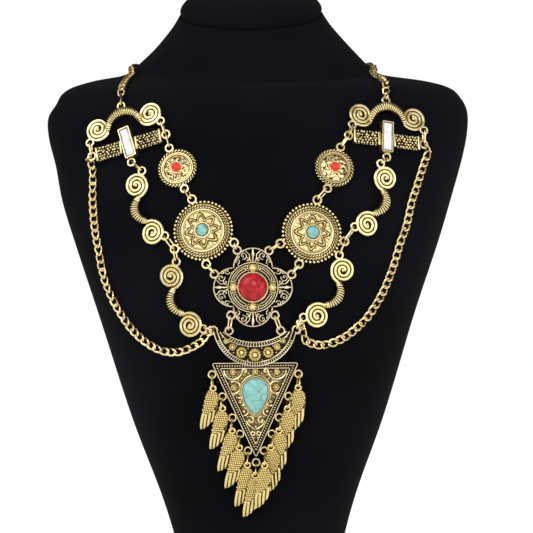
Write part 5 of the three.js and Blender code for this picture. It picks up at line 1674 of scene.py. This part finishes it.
class NECKLACE_OT_rings(bpy.types.Operator):
    """Makes the rings between the ornaments"""
    bl_idname, bl_label = "necklace.rings", "Jump rings"

    def execute(self, context):
        make_rings()
        return {"FINISHED"}


class NECKLACE_OT_chains(bpy.types.Operator):
    """Makes the curb chains down both sides and round the neck"""
    bl_idname, bl_label = "necklace.chains", "Chains"

    def execute(self, context):
        make_chains()
        return {"FINISHED"}


class NECKLACE_OT_clasp(bpy.types.Operator):
    """Makes the clasp at the back of the neck"""
    bl_idname, bl_label = "necklace.clasp", "Clasp"

    def execute(self, context):
        make_clasp()
        return {"FINISHED"}


class NECKLACE_OT_stage(bpy.types.Operator):
    """Sets the camera, the soft light, the white surroundings and the pale floor"""
    bl_idname, bl_label = "necklace.stage", "Stage"

    def execute(self, context):
        light = context.scene.necklace_stage
        context.scene.view_settings.view_transform = "Standard"
        add_camera()
        add_light("key", (-0.9, -1.1, 1.15), 1.2, light.key)
        add_light("fill", (1.1, -0.9, 0.35), 0.9, light.fill, (1.0, 0.98, 0.95))
        add_light("front", (0.1, -1.6, 0.7), 0.5, light.fill * 0.7)
        add_world(light.world, light.gloss)
        h = light.floor / 2
        mesh = bpy.data.meshes.new("floor")
        mesh.from_pydata([(-h, -h, 0), (h, -h, 0), (h, h, 0), (-h, h, 0)], [], [(0, 1, 2, 3)])
        mesh.materials.append(MATERIALS["floor"])
        floor = added("floor", mesh)
        return {"FINISHED"}


PIECES = (NECKLACE_OT_finishes, NECKLACE_OT_bust, NECKLACE_OT_scroll_bars, NECKLACE_OT_s_scrolls,
          NECKLACE_OT_cross_bars, NECKLACE_OT_small_discs, NECKLACE_OT_large_discs, NECKLACE_OT_medallion,
          NECKLACE_OT_pendant, NECKLACE_OT_wings, NECKLACE_OT_rings, NECKLACE_OT_chains, NECKLACE_OT_clasp,
          NECKLACE_OT_stage)


class NECKLACE_PT_panel(bpy.types.Panel):
    """Lists the necklace's operators and settings"""
    bl_label, bl_idname = "Necklace", "NECKLACE_PT_panel"
    bl_space_type, bl_region_type, bl_category = "VIEW_3D", "UI", "Necklace"

    def draw(self, context):
        for group in (context.scene.necklace_finish, context.scene.necklace_stage):
            box = self.layout.box()
            for name in group.__annotations__:
                box.prop(group, name)
        for operator in PIECES:
            self.layout.operator(operator.bl_idname)


CLASSES = (NecklaceFinish, NecklaceStage, *PIECES, NECKLACE_PT_panel)


def register():
    for cls in CLASSES:
        bpy.utils.register_class(cls)
    bpy.types.Scene.necklace_finish = bpy.props.PointerProperty(type=NecklaceFinish)
    bpy.types.Scene.necklace_stage = bpy.props.PointerProperty(type=NecklaceStage)


def unregister():
    del bpy.types.Scene.necklace_stage, bpy.types.Scene.necklace_finish
    for cls in reversed(CLASSES):
        bpy.utils.unregister_class(cls)


def main():
    register()
    for operator in PIECES:
        getattr(bpy.ops.necklace, operator.bl_idname.split(".")[1])()


if __name__ == "__main__":
    main()
